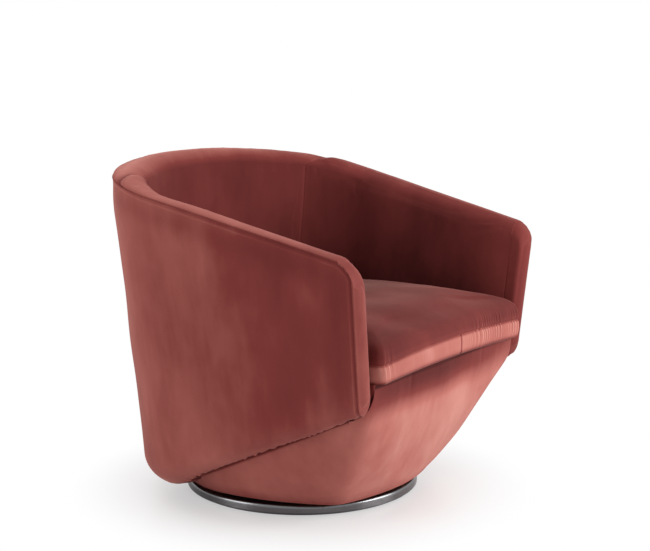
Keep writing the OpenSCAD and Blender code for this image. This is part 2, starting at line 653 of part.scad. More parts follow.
// Bottom board with bores for the screws of the turning bearing ring
module bottom_board() {
  color(ply) difference() {
    translate([0, 0, board_h]) cylinder(h = board_t, r = board_r);
    translate([0, 0, board_h - cut]) cylinder(h = board_t + 2 * cut, r = upper_r0);
    screw_ring(upper_screw_r) translate([0, 0, board_h - cut])
      cylinder(h = board_t + 2 * cut, r = screw_d / 2 + bore_gap, $fn = 48);
  }
}

// Cloth stapled under the bottom board, between the bearing and the turned-in cover
module dust_cover() {
  color("black") translate([0, 0, board_h - cloth_t]) difference() {
    cylinder(h = cloth_t, r = plinth_d / 2 - cover_turn - board_gap);
    translate([0, 0, -cut]) cylinder(h = cloth_t + 2 * cut, r = lower_r1 + cloth_gap);
  }
}

// Ball bearing: a fixed outer ring on the base, a turning inner ring under the board, balls in a cage
ball_r0 = ball_circle_d / 2;
ball_h = (plate_h + board_h) / 2;
lower_r0 = ball_r0 + race_gap / 2;
lower_r1 = lower_r0 + race_w;
upper_r1 = ball_r0 - race_gap / 2;
upper_r0 = upper_r1 - race_w;
lower_screw_r = lower_r1 - screw_head_d / 2 - screw_edge;
upper_screw_r = upper_r0 + screw_head_d / 2 + screw_edge;
lower_top_h = board_h - race_clear;
lower_head_h = lower_top_h - screw_head_h - head_sink;
upper_low_h = plate_h + race_clear;
module screw_ring(r) {
  for (k = [0:screw_count - 1]) rotate([0, 0, (k + 0.5) * 360 / screw_count]) translate([r, 0, 0]) children();
}
module groove() {
  translate([ball_r0, ball_h]) circle(r = ball_d / 2 + groove_gap);
}
module bearing_lower() {
  color(steel) difference() {
    rotate_extrude() difference() {
      translate([lower_r0, plate_h]) square([race_w, lower_top_h - plate_h]);
      groove();
    }
    screw_ring(lower_screw_r) {
      translate([0, 0, plate_h - cut]) cylinder(h = board_h - plate_h, r = screw_d / 2 + bore_gap, $fn = 48);
      translate([0, 0, lower_head_h])
        cylinder(h = board_h - plate_h, r = screw_head_d / 2 + 3 * bore_gap, $fn = 48);
    }
  }
}
module bearing_upper() {
  color(steel) difference() {
    rotate_extrude() difference() {
      translate([upper_r0, upper_low_h]) square([race_w, board_h - upper_low_h]);
      groove();
    }
    screw_ring(upper_screw_r) translate([0, 0, upper_low_h - cut])
      cylinder(h = board_h - upper_low_h + 2 * cut, r = screw_d / 2 + bore_gap, $fn = 48);
  }
}
module screw(top, length) {
  translate([0, 0, top]) cylinder(h = screw_head_h, d = screw_head_d, $fn = 48);
  translate([0, 0, top - length]) cylinder(h = length, d = screw_d, $fn = 48);
}
module bearing_lower_screws() {
  color(steel) screw_ring(lower_screw_r) screw(lower_head_h, lower_head_h - (plate_h - plate_t));
}
module bearing_upper_screws() {
  color(steel) screw_ring(upper_screw_r) screw(board_top_h, board_top_h - upper_low_h - screw_end_gap);
}
module bearing_balls() {
  color(steel) ball_places() sphere(d = ball_d, $fn = 48);
}
module ball_places() {
  for (k = [0:ball_count - 1]) rotate([0, 0, k * 360 / ball_count]) translate([ball_r0, 0, ball_h])
    children();
}
module ball_cage() {
  color("goldenrod") difference() {
    rotate_extrude() translate([ball_r0 - cage_w / 2, ball_h - cage_h / 2]) square([cage_w, cage_h]);
    ball_places() sphere(r = ball_d / 2 + pocket_gap, $fn = 48);
  }
}

// Base: a felt pad, a rim with rounded edges, and a plate let into the rim
rim_r1 = base_d / 2;
rim_r0 = base_d / 2 - rim_w;
plate_r = rim_r0 + ledge_w;
plate_screw_r = rim_r0 + ledge_w / 2;
module floor_pad() {
  color("dimgray") cylinder(h = felt_t, r = rim_r1 - rim_top_r);
}
module base_ring() {
  color(gunmetal) difference() {
    rotate_extrude() difference() {
      union() {
        translate([rim_r1 - rim_low_r, felt_t + rim_low_r]) circle(r = rim_low_r);
        translate([rim_r1 - rim_top_r, base_h - rim_top_r]) circle(r = rim_top_r);
        translate([rim_r0, felt_t]) square([rim_w - rim_low_r, rim_low_r + cut]);
        translate([rim_r0, felt_t + rim_low_r]) square([rim_w, base_h - rim_top_r - felt_t - rim_low_r]);
        translate([rim_r0, base_h - rim_top_r - cut]) square([rim_w - rim_top_r, rim_top_r + cut]);
      }
      translate([rim_r0 - cut, plate_h - plate_t]) square([ledge_w + cut + bore_gap, base_h]);
    }
    screw_ring(plate_screw_r) translate([0, 0, felt_t + rim_floor])
      cylinder(h = base_h, r = screw_d / 2 + bore_gap, $fn = 48);
  }
}
module base_plate() {
  color(gunmetal) difference() {
    translate([0, 0, plate_h - plate_t]) cylinder(h = plate_t, r = plate_r);
    for (r = [lower_screw_r, plate_screw_r]) screw_ring(r) translate([0, 0, plate_h - plate_t - cut])
      cylinder(h = plate_t + 2 * cut, r = screw_d / 2 + bore_gap, $fn = 48);
  }
}
module plate_screws() {
  color(steel) screw_ring(plate_screw_r) screw(plate_h, plate_h - felt_t - rim_floor - screw_end_gap);
}

floor_pad();
base_ring();
base_plate();
plate_screws();
bearing_lower();
bearing_lower_screws();
bearing_balls();
ball_cage();
bearing_upper();
bearing_upper_screws();
bottom_board();
dust_cover();
rib(-90);  // rib_front
rib(-45);  // rib_front_left
rib(0);  // rib_left
rib(45);  // rib_rear_left
rib(90);  // rib_rear
rib(135);  // rib_rear_right
rib(180);  // rib_right
rib(-135);  // rib_front_right
seat_frame();
straps_long();
straps_cross();
seat_deck();
plinth_cover();
core(arm_row(core_joint));  // arm_core_left
mirror([1, 0, 0]) core(arm_row(core_joint));  // arm_core_right
core(back_row(core_joint));  // back_core
tub_brackets();
outer_panel(arm_row(outer_seam, 14));  // outer_panel_left
mirror([1, 0, 0]) outer_panel(arm_row(outer_seam, 14));  // outer_panel_right
outer_panel(back_row(outer_seam));  // outer_panel_back
arm_facing();  // arm_facing_left
mirror([1, 0, 0]) arm_facing();  // arm_facing_right
inner_pad(arm_row(inner_seam));  // inner_pad_left
mirror([1, 0, 0]) inner_pad(arm_row(inner_seam));  // inner_pad_right
inner_pad(back_row(inner_seam));  // inner_pad_back
seat_cushion();
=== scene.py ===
import math

import bmesh
import bpy
import numpy as np
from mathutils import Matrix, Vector


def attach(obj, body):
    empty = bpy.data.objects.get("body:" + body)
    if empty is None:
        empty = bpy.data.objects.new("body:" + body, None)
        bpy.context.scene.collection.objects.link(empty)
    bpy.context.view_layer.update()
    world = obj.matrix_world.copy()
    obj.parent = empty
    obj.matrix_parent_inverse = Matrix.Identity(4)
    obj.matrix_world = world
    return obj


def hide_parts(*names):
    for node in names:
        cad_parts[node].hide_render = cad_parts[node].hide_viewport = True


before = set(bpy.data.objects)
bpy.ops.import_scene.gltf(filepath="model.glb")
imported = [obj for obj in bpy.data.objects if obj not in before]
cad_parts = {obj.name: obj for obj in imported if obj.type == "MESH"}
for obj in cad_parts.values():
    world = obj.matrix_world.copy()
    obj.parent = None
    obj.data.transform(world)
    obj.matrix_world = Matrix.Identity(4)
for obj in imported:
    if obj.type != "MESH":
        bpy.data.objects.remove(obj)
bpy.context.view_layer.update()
print("frame loaded")

mm = 0.001

# Sizes of the tub, in millimetres and degrees: those of the CAD solids, with a fuller rear roll and a sag at the rim
tub = {
    "width": 842, "armLean": 10.2, "armToe": 2.9, "backStart": 56, "backDepth": 248, "backLean": 0.5,
    "armReach": 347, "frontLean": 2.4, "rimHeight": 605, "rimSlope": 14, "armThick": 49, "backThick": 62,
    "rimSag": 8, "sagPlace": 2.35, "sagWidth": 0.42, "cornerTop": 36, "cornerLow": 14, "crownHeight": 5,
    "crownRadius": 26, "crownShare": 0.45, "sewnRise": 1.5, "edgeFront": 252, "edgeSlope": 24.8, "edgeRear": 34,
    "edgeEase": 70, "rollFront": 16, "rollRear": 52, "coreInner": 27.6, "deckHeight": 287,
}
rimFall = math.tan(math.radians(tub["rimSlope"]))
edgeFall = math.tan(math.radians(tub["edgeSlope"]))
leanFall = math.tan(math.radians(tub["armLean"]))
toe = math.radians(tub["armToe"])
toeFall = math.tan(toe)
frontFall = math.tan(math.radians(tub["frontLean"]))
armLength = tub["armReach"] + tub["backStart"]
rimFrontZ = tub["rimHeight"] - tub["armReach"] * rimFall
rimSideZ = tub["rimHeight"] + tub["backStart"] * rimFall
rounds = 5   # the walls lean, so y and z of a place are settled in rounds


def halfWidth(z):   # half the width where the back curve starts: the arms lean outwards
    return tub["width"] / 2 + (z - rimSideZ) * leanFall


def curveDepth(z):   # depth of the half ellipse behind that line
    return tub["backDepth"] + (z - rimSideZ) * math.tan(math.radians(tub["backLean"]))


def frontY(z):
    return -(tub["armReach"] + (z - rimFrontZ) * frontFall)


def foldPlace(s):   # s runs 0 to 2 from the left arm's front to the middle of the back, and on to 4
    return np.where(s > 2, 4 - s, s), np.where(s > 2, -1.0, 1.0)


# The outer face: a straight leaning arm for s up to 1, then a quarter of an ellipse up to 2, mirrored
def outerFace(s, z):
    t, side = foldPlace(s)
    y = frontY(z) + t * (tub["backStart"] - frontY(z))
    x = halfWidth(z) + (y - tub["backStart"]) * toeFall
    angle = np.clip(t - 1, 0, 1) * math.pi / 2
    x = np.where(t > 1, halfWidth(z) * np.cos(angle), x)
    y = np.where(t > 1, tub["backStart"] + curveDepth(z) * np.sin(angle), y)
    return x * side, y


# The level direction square to the outer face
def outwards(s):
    t, side = foldPlace(s)
    angle = np.clip(t - 1, 0, 1) * math.pi / 2
    nx = np.where(t > 1, np.cos(angle) / halfWidth(rimFrontZ), math.cos(toe))
    ny = np.where(t > 1, np.sin(angle) / curveDepth(rimFrontZ), -math.sin(toe))
    size = np.hypot(nx, ny)
    return nx / size * side, ny / size


# A point of the wall at place s and height z, a distance d in from the outer face
def wallPoint(s, z, d):
    x, y = outerFace(s, z)
    nx, ny = outwards(s)
    return np.stack([x - d * nx, y - d * ny, z + 0 * x], -1)


# A move of the wall's surface: inwards by moveD and up by moveZ
def wallMove(s, moveD, moveZ):
    nx, ny = outwards(s)
    return np.stack([-moveD * nx, -moveD * ny, moveZ + 0 * nx], -1)


def wallThick(s):
    t, _ = foldPlace(s)
    return tub["armThick"] + (tub["backThick"] - tub["armThick"]) * np.clip(t, 0, 1)


def cornerDrop(s, radius):   # the round of an arm's corner, seen from the side
    t, _ = foldPlace(s)
    e = np.clip(radius - np.clip(t * armLength, 0, None), 0, radius)
    return radius - np.sqrt(radius ** 2 - e ** 2)


def dip(distance, width):   # 1 on a line, falling away smoothly to each side
    return np.exp(-(distance / width) ** 2)


def smooth(x):   # 0 below 0, 1 above 1, an eased step between
    x = np.clip(x, 0, 1)
    return x * x * (3 - 2 * x)


def rimSag(s):   # the seam sags a little at one rear corner
    return tub["rimSag"] * dip(s - tub["sagPlace"], tub["sagWidth"])


# Height of the rim seam: one tilted plane, less the sag and the drop at the arm's corner
def rimZ(s):
    z = np.full_like(s, float(tub["rimHeight"]))
    for _ in range(rounds):
        z = tub["rimHeight"] + rimFall * outerFace(s, z)[1]
    return z - cornerDrop(s, tub["cornerTop"]) - rimSag(s)


edgeEndY = frontY(tub["edgeFront"]) + (tub["edgeFront"] - tub["edgeRear"]) / edgeFall


# Lower edge of the shell: a straight fall that eases into the level rear part
def edgeLine(y):
    ease = tub["edgeEase"]
    fall = np.where(y <= edgeEndY - ease, edgeFall * (edgeEndY - y),
                    edgeFall * np.clip(edgeEndY + ease - y, 0, None) ** 2 / (4 * ease))
    return tub["edgeRear"] + fall


def edgeZ(s):
    z = np.full_like(s, float(tub["edgeFront"]))
    for _ in range(rounds):
        z = edgeLine(outerFace(s, z)[1])
    return z + cornerDrop(s, tub["cornerLow"])


def rollRadius(s):
    share = (tub["edgeFront"] - np.minimum(tub["edgeFront"], edgeZ(s))) / (tub["edgeFront"] - tub["edgeRear"])
    return tub["rollFront"] + (tub["rollRear"] - tub["rollFront"]) * share


# A smooth random field: sines of about one wavelength in random directions, at rms 1
def ripple(points, size, seed, count=14):
    draw = np.random.default_rng(seed)
    direction = draw.normal(size=(count, 3))
    direction /= np.linalg.norm(direction, axis=1, keepdims=True)
    waves = 2 * math.pi / size * draw.uniform(0.7, 1.4, count)
    phase = draw.uniform(0, 2 * math.pi, count)
    return np.sin(points @ direction.T * waves + phase).sum(-1) * math.sqrt(2 / count)


# Gathers along a seam: ridges of uneven width and height, sines of the length with wandering phases under a slowly
# changing strength, at rms about 0.55
def gather(length, size, seed):
    draw = np.random.default_rng(seed)
    total = 0 * length
    for part, share in ((1, 1), (1.7, 0.7), (0.58, 0.4)):
        phase = 0 * length
        for step in (1.9, 3.3, 5.9):
            phase = phase + draw.uniform(0.9, 1.6) * np.sin(length / (size * step) + draw.uniform(0, 6.3))
        swell = 0.5 + 0.5 * np.sin(length / (size * draw.uniform(1.2, 2.4)) + draw.uniform(0, 6.3))
        total = total + share * swell * np.sin(2 * math.pi * length / (size * part) + phase)
    return total


def addObject(name, data):
    made = bpy.data.objects.new(name, data)
    bpy.context.scene.collection.objects.link(made)
    return made


def writePaintedShading(mesh, nap):   # painted light and shade at each point: above 0 a painted highlight, below 0 painted shade
    mesh.attributes["nap"].data.foreach_set("value", np.ascontiguousarray(nap, np.float32).ravel())


# A mesh from a grid of points: neighbours are joined by four-cornered faces and each row closes on itself. wrapped
# joins the last row to the first, and caps closes both end rows by joining their first half to their second half.
def addGrid(name, points, nap, wrapped=False, caps=False):
    rows, columns = points.shape[:2]
    index = np.arange(rows * columns).reshape(rows, columns)
    a = index if wrapped else index[:-1]
    b = np.roll(index, -1, 0) if wrapped else index[1:]
    quads = np.stack([a, b, np.roll(b, -1, 1), np.roll(a, -1, 1)], -1).reshape(-1, 4)
    if caps:
        k = np.arange(columns // 2 - 1)
        first = np.stack([index[0, k], index[0, k + 1], index[0, columns - 2 - k], index[0, columns - 1 - k]], -1)
        last = np.stack([index[-1, k], index[-1, columns - 1 - k], index[-1, columns - 2 - k], index[-1, k + 1]], -1)
        quads = np.concatenate([quads, first, last])
    mesh = bpy.data.meshes.new(name)
    mesh.from_pydata((points.reshape(-1, 3) * mm).tolist(), [], quads.tolist())
    mesh.attributes.new("nap", "FLOAT", "POINT")
    writePaintedShading(mesh, nap)
    return addObject(name, mesh)


def readPoints(mesh):   # the mesh's points in millimetres
    points = np.empty(len(mesh.vertices) * 3)
    mesh.vertices.foreach_get("co", points)
    return points.reshape(-1, 3) / mm


def writePoints(mesh, points):
    mesh.vertices.foreach_set("co", (points.reshape(-1, 3) * mm).ravel())
    mesh.update()


mergeReach = 0.00002   # in metres
sharpAngle = math.radians(65)


def closeUp(piece, fillHoles=False):   # merges doubles, closes an open end and turns the faces outwards
    bm = bmesh.new()
    bm.from_mesh(piece.data)
    bmesh.ops.remove_doubles(bm, verts=bm.verts, dist=mergeReach)
    if fillHoles:
        bmesh.ops.holes_fill(bm, edges=[edge for edge in bm.edges if edge.is_boundary])
    bmesh.ops.recalc_face_normals(bm, faces=bm.faces)
    bm.to_mesh(piece.data)
    bm.free()
    piece.data.shade_smooth()
    piece.data.set_sharp_from_angle(angle=sharpAngle)


# Parameter values with a chosen step in each stretch: start, then end, step, end, step and so on
def spread(*stops):
    values = [np.array([float(stops[0])])]
    for end, step in zip(stops[1::2], stops[2::2]):
        start = values[-1][-1]
        count = max(1, int(math.ceil(abs(end - start) / step)))
        values.append(np.linspace(start, end, count + 1)[1:])
    return np.concatenate(values)


# Padding: a remeshed, closed copy is pumped up as cloth with its sewn places held, and the piece, bound to the
# copy's surface beforehand, follows it. No point moves further than its cap.
padding = {
    "quality": 6, "mass": 0.25, "tension_stiffness": 14, "compression_stiffness": 14, "bending_stiffness": 0.4,
    "use_pressure": True, "uniform_pressure_force": 4.0, "vertex_group_mass": "held",
}
padFrames = 20


def inflate(piece, held, voxel, cap, hold=6.0):
    rest = readPoints(piece.data)
    bag = piece.copy()
    bag.data = piece.data.copy()
    bpy.context.scene.collection.objects.link(bag)
    closeUp(bag, True)
    even = bag.modifiers.new("even", "REMESH")
    even.mode = "VOXEL"
    even.voxel_size = voxel * mm
    bag.modifiers.new("triangles", "TRIANGULATE")
    seen = bag.evaluated_get(bpy.context.evaluated_depsgraph_get())
    bag.data = bpy.data.meshes.new_from_object(seen)
    bag.modifiers.clear()
    sewn = rest[held.ravel()]
    points = readPoints(bag.data)
    parts = np.array_split(points, len(points) // 200 + 1)   # in portions, to spare memory
    near = [((part[:, None] - sewn[None]) ** 2).sum(-1).min(1) for part in parts]
    group = bag.vertex_groups.new(name="held")
    group.add(np.flatnonzero(np.concatenate(near) < hold ** 2).tolist(), 1.0, "REPLACE")
    follow = piece.modifiers.new("follow", "SURFACE_DEFORM")
    follow.target = bag
    with bpy.context.temp_override(object=piece, active_object=piece):
        bpy.ops.object.surfacedeform_bind(modifier=follow.name)
    if not follow.is_bound:
        print(piece.name, "could not be bound to its copy")
    cloth = bag.modifiers.new("cloth", "CLOTH")
    for key, value in padding.items():
        setattr(cloth.settings, key, value)
    cloth.settings.effector_weights.gravity = 0
    cloth.collision_settings.use_collision = False
    cloth.point_cache.frame_start = 1
    cloth.point_cache.frame_end = padFrames
    for step in range(1, padFrames + 1):
        bpy.context.scene.frame_set(step)
    seen = piece.evaluated_get(bpy.context.evaluated_depsgraph_get())
    move = readPoints(seen.data) - rest
    size = np.linalg.norm(move, axis=1, keepdims=True)
    piece.modifiers.clear()
    bpy.data.objects.remove(bag)
    bpy.context.scene.frame_set(1)
    move *= np.minimum(1, np.reshape(cap, (-1, 1)) / np.maximum(size, 0.001))
    writePoints(piece.data, rest + move)
    print(piece.name, "padded, moved at most", round(float(np.linalg.norm(move, axis=1).max()), 1), "mm")


def finishPiece(piece, nodes):   # every velvet piece turns with the seat
    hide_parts(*nodes)
    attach(piece, "seat")
    piece.data.materials.append(velvet)


# Outer panels: one leaning face from the rim seam down, rolled under and turned in to the plinth. run is the wall's
# length for one unit of s, and the puckers are deepest where the face has rolled under by puckerTurn.
panel = {
    "thick": 9, "seamDip": 1.7, "seamWidth": 2.6, "bandWidth": 7, "bandRise": 0.7, "pillow": 4.5, "pillowReach": 70,
    "pucker": 2.4, "puckerStep": 13, "puckerReach": 0.30, "wave": 0.8, "sideSeam": 1 + 48 / 90, "frontGap": 2.5,
    "run": 430, "strip": 16, "puckerTurn": 1.35, "creasePaintedShade": -0.9, "edgePaintedHighlight": 0.2, "rearPaintedShading": 0.24, "bandPaintedShading": 0.10,
    "facePaintedShade": -0.12, "puckerPaintedShading": 0.16,
}


# Distance on the outer face from its sewn edge: the rim seam, round the front corner, down the arm's front
def edgeDistance(s, z):
    t, _ = foldPlace(s)
    e = t * armLength - panel["frontGap"]
    line = np.concatenate([np.linspace(0, 60, 90), np.linspace(62, 2 * armLength, 160)])
    lineZ = rimZ((line + panel["frontGap"]) / armLength)
    near = np.full(e.shape, 1e9)
    for place, height in zip(line, lineZ):
        near = np.minimum(near, (e - place) ** 2 + (z - height) ** 2)
    return np.minimum(np.sqrt(near), np.where(z < lineZ[0], np.clip(e, 0, None), 1e9))


# Profile in (d, z): the outer face from the rim seam to the roll, a quarter circle under, a flat lip to the plinth,
# and the same way back a wall's thickness in. Carried along the places s.
def buildPanel(name, places, node):
    s, strip = places[:, None], panel["strip"]
    top, low, roll = rimZ(places)[:, None], edgeZ(places)[:, None], rollRadius(places)[:, None]
    near = spread(0, 12, 0.9, strip, 1.4)[None, :]
    fall = spread(0, 1, 0.018)[None, 1:]
    turn = np.linspace(0, math.pi / 2, 18)[None, 1:]
    lip = np.linspace(0, 1, 7)[None, 1:]
    lipEnd = lipReach(places)[:, None]
    face = np.concatenate([top - near, top - strip - (top - strip - low - roll) * fall], 1)
    z = np.concatenate([face, low + roll * (1 - np.sin(turn)), low + 0 * lip * roll], 1)
    d = np.concatenate([0 * face, roll * (1 - np.cos(turn)), roll + (lipEnd - roll) * lip], 1)
    under = np.concatenate([0 * face, turn + 0 * roll, math.pi / 2 + 0 * lip * roll], 1)   # how far it has rolled
    s = s + 0 * z
    t, _ = foldPlace(s)
    edge = edgeDistance(s, z)
    seamSide = np.abs(t - panel["sideSeam"]) * panel["run"]
    rest = wallPoint(s, z, d)
    push = -panel["seamDip"] * dip(edge, panel["seamWidth"]) - panel["seamDip"] * dip(seamSide, panel["seamWidth"])
    push += panel["bandRise"] * smooth((panel["bandWidth"] + 1.5 - edge) / 3)
    push += panel["pillow"] * smooth((edge - panel["bandWidth"]) / panel["pillowReach"]) * np.cos(under)
    push += panel["wave"] * ripple(rest, 170, 3) * smooth(edge / 50)
    atRoll = dip(panel["puckerTurn"] - np.minimum(under, panel["puckerTurn"]), panel["puckerReach"])
    pucker = gather(t * panel["run"] + 0.2 * z, panel["puckerStep"], 5) * atRoll
    push += panel["pucker"] * pucker * smooth(edge / 30) * smooth((np.abs(s - 2) - 0.35) / 0.3)
    outer = rest + wallMove(s, -push * np.cos(under), -push * np.sin(under))
    back = panel["thick"]
    inner = wallPoint(s, z + (back * 0.4) * np.sin(under), d + back * np.cos(under))
    # Painted light and shade: a painted highlight along the lower edge, painted shade where the face has rolled under,
    # a painted highlight on the band's ridge with painted shade on the seam, painted shade below the band, painted
    # highlights and shade on the puckers, and a painted highlight growing towards the rear
    light = panel["edgePaintedHighlight"] * dip(z - low, 40) + panel["creasePaintedShade"] * smooth((under - 1.3) / 0.15)
    light += (panel["bandPaintedShading"] * dip(edge - panel["bandWidth"] - 1, 1.5) - panel["bandPaintedShading"] * dip(edge - 2, 3)
              + panel["facePaintedShade"] * dip(edge - 30, 20))
    light += panel["puckerPaintedShading"] * pucker * smooth(edge / 30) + panel["rearPaintedShading"] * smooth((t - 0.35) / 0.8)
    piece = addGrid(name, np.concatenate([outer, inner[:, ::-1]], 1), np.concatenate([light, 0 * light], 1), caps=True)
    closeUp(piece)
    finishPiece(piece, [node])


# Plinth: widens from its near-round foot to the tub's outline at the knee, and is upright between the arms
plinth = {
    "diameter": 478, "footShare": 0.33, "foot": 32, "bottom": 29, "power": 0.74, "top": 302, "inset": 16,
    "reach": 337.03, "frontLean": 3.5, "corner": 35, "cornerX": 290, "kneeSoft": 10, "lap": 14, "thick": 5,
    "turnIn": 28, "bullet": 4, "frontZone": 35, "roundOff": 11, "roundReach": 0.968, "wave": 0.8, "gather": 0.7,
    "gatherStep": 19, "fold": 1.2, "foldX": 150, "foldZ": 285, "frontPaintedHighlight": 0.70, "sidePaintedShading": 0.34, "topPaintedShade": -1.15,
    "creasePaintedShade": -0.8, "footPaintedShade": -0.25,
}
knee = float(tub["edgeFront"])


# Directions and distances of the knee outline's left half: front, round corner, side and quarter ellipse
def plinthOutline():
    r = plinth["corner"]
    frontLine = -plinth["reach"]
    sideX = halfWidth(knee) + (frontLine + r - tub["backStart"]) * toeFall - plinth["inset"] / math.cos(toe)
    cx = sideX - r / math.cos(toe)
    straight = np.stack([np.linspace(0, cx, 40), np.full(40, frontLine)], -1)
    arc = np.radians(np.linspace(-88, -tub["armToe"] - 1, 40))
    corner = np.stack([cx + r * np.cos(arc), frontLine + r + r * np.sin(arc)], -1)
    startS = (frontLine + r - frontY(knee)) / (tub["backStart"] - frontY(knee))
    rest = wallPoint(np.linspace(startS, 2, 220), knee, plinth["inset"])[:, :2]
    line = np.concatenate([straight, corner, rest])
    return np.arctan2(line[:, 1], line[:, 0]), np.hypot(line[:, 0], line[:, 1])


outlineAngle, outlineRho = plinthOutline()


def foldAngle(angle):   # the left half's direction for either side
    folded = np.where(np.cos(angle) < 0, math.pi - angle, angle)
    return np.where(folded > math.pi, folded - 2 * math.pi, folded)


def kneeRho(angle):
    return np.interp(foldAngle(angle), outlineAngle, outlineRho)


# The same outline with its corners rounded off: a weighted average over neighbouring directions, brought up to a
# share of the corner's own reach
offset = np.radians(np.linspace(-30, 30, 61))
weight = dip(np.degrees(offset), plinth["roundOff"])
turnAngle = np.radians(np.linspace(-90, 90, 721))
roundRho = (kneeRho(turnAngle[:, None] + offset) * weight).sum(1) / weight.sum()
roundRho *= 1 + (plinth["roundReach"] * outlineRho.max() / roundRho.max() - 1) * smooth((0.3 - turnAngle) / 0.5)


# The foot is a circle drawn a little towards the knee outline. From it the distance from the axis grows with a
# power of the height up to the knee, and above it the face stands up with a slight lean, in a soft bend.
def plinthRho(angle, z):
    rho = kneeRho(angle)
    share = np.clip((z - plinth["bottom"]) / (knee - plinth["bottom"]), 0, None)
    soft = rho + (np.interp(foldAngle(angle), turnAngle, roundRho) - rho) * smooth((1 - share) / 0.5)
    foot = plinth["diameter"] / 2 * (1 + plinth["footShare"] * (rho / plinth["reach"] - 1))
    below = foot + (soft - foot) * share ** plinth["power"]
    above = rho * (1 + plinth["frontLean"] * (z - knee) / (plinth["top"] - knee) / plinth["reach"])
    gap = above - below
    bend = plinth["kneeSoft"] * np.clip((rho - foot) / (knee - plinth["bottom"]), 0.2, None)
    return above - (gap + np.sqrt(gap ** 2 + bend ** 2)) / 2


# Distance in from the outer face at which the panel's lower lip meets the plinth, by repeated steps
def lipReach(places):
    z = edgeZ(places)
    d = np.full_like(places, float(panel["thick"]))
    nx, ny = outwards(places)
    x, y = outerFace(places, z)
    for _ in range(14):
        px, py = x - d * nx, y - d * ny
        rho = np.hypot(px, py)
        rest = rho - plinthRho(np.arctan2(py, px), z) - 0.3
        d = d + rest / np.maximum(0.4, (nx * px + ny * py) / rho)
    t, _ = foldPlace(places)
    return np.maximum(np.minimum(d, rollRadius(places) + 4 + 0.5 * t * armLength), rollRadius(places) * 0.9)


# Distance from the axis to the inner faces of the arms, less a small gap
def betweenRho(angle, z):
    slope = toeFall - (tub["backThick"] - tub["armThick"]) / math.cos(toe) / (tub["backStart"] - frontY(z))
    x0 = halfWidth(z) - (tub["backThick"] + 1) / math.cos(toe) - tub["backStart"] * slope
    folded = foldAngle(angle)
    share = np.cos(folded) - np.sin(folded) * slope
    return np.where(share > 0.06, x0 / np.maximum(share, 0.06), 1e6)


# Profile in (distance, z) for each direction round the swivel axis: a turned-in foot, the face up to the arms'
# lower ends or the panels' lower edge, up between the arms to the top, then back down inside
def buildPlinth():
    half = np.concatenate([np.linspace(-90, -53, 60), np.linspace(-52.7, -42, 70), np.linspace(-41.5, 90, 200)])
    angle = np.radians(np.concatenate([half, 180 - half[-2:0:-1]]))
    ledge = np.full_like(angle, knee)
    frontCorner = math.atan2(-plinth["reach"], plinth["cornerX"])
    r = tub["crownRadius"]
    armX = betweenRho(np.array(frontCorner), knee + r) * math.cos(frontCorner)
    for _ in range(8):
        rho = plinthRho(angle, ledge)
        x, y = np.abs(rho * np.cos(angle)), rho * np.sin(angle)
        e = y - frontY(knee)
        u = np.clip(armX + r - x, 0, r)
        lift = r - np.sqrt(r ** 2 - u ** 2)
        nearArm = edgeLine(y + 3) + cornerDrop(np.clip(e + 3, 0, None) / armLength, tub["cornerLow"]) + lift - 0.6
        ledge = np.where(e < plinth["frontZone"], nearArm, edgeLine(y) + plinth["lap"])
    upright = (e < plinth["frontZone"])[:, None]
    ledge, a = ledge[:, None], angle[:, None]
    foot, bullet = plinth["foot"], plinth["bullet"]
    rise = spread(0, 0.1, 0.02, 0.86, 0.028, 1, 0.01)[None, :]
    turn = np.linspace(0, math.pi / 2, 6)[None, :-1]
    climb = np.linspace(0, 1, 9)[None, 1:]
    topZ = np.where(upright, plinth["top"], ledge + 1)
    z = np.concatenate([foot + 0 * a, foot + bullet * (1 - np.cos(turn)) + 0 * a,
                        foot + bullet + (ledge - foot - bullet) * rise, ledge + 0.5 + (topZ - ledge - 0.5) * climb], 1)
    rho = plinthRho(a, z)
    rho[:, 0] -= plinth["turnIn"]
    rho[:, 1:6] = plinthRho(a, foot + bullet) - bullet * (1 - np.sin(turn))
    rho[:, -8:] = np.where(upright, np.minimum(rho[:, -8:], betweenRho(a, z[:, -8:])), rho[:, -8:])
    place = np.stack([rho * np.cos(a), rho * np.sin(a), z], -1)
    crease = np.where(upright, ledge - z + 4, edgeLine(place[..., 1]) - z)   # how far below the arm or the panel
    lineLength = np.cumsum(np.hypot(*np.diff(place[:, 20, :2], axis=0, append=place[:1, 20, :2]).T))[:, None]
    gathers = plinth["gather"] * gather(lineLength, plinth["gatherStep"], 9) * dip(crease, 12) * ~upright
    out = rho + plinth["wave"] * ripple(place, 130, 11) * smooth((z - foot) / 40) + gathers
    # A soft fold on each side under the cushion
    out -= plinth["fold"] * dip(np.abs(place[..., 0]) - plinth["foldX"], 5) * dip(z - plinth["foldZ"], 35) * upright
    outer = np.stack([out * np.cos(a), out * np.sin(a), z], -1)
    rhoIn = rho - plinth["thick"]
    rhoIn[:, 0] = rho[:, 0]
    zIn = np.maximum(z - np.where(z > foot + 20, 2.0, 0), foot + 3)
    inner = np.stack([rhoIn * np.cos(a), rhoIn * np.sin(a), zIn], -1)[:, ::-1]
    # Painted light and shade: a painted highlight on the front, stronger than on the sides, a painted shadow under the
    # cushion's overhang, and painted shade in the crease under the arms and panels and towards the foot
    forward = smooth((-np.sin(a) - 0.5) / 0.45)
    light = plinth["sidePaintedShading"] + (plinth["frontPaintedHighlight"] - plinth["sidePaintedShading"]) * forward + 0 * z
    light += plinth["topPaintedShade"] * smooth((z - 215) / 70) * forward * (1 - 0.35 * smooth(place[..., 0] / 200))
    light += plinth["creasePaintedShade"] * dip(crease, 3)
    light += plinth["footPaintedShade"] * smooth((60 - z) / 30)
    piece = addGrid("plinthCloth", np.concatenate([outer, inner], 1), np.concatenate([light, 0 * light], 1),
                    wrapped=True)
    closeUp(piece)
    finishPiece(piece, ["plinth_cover"])


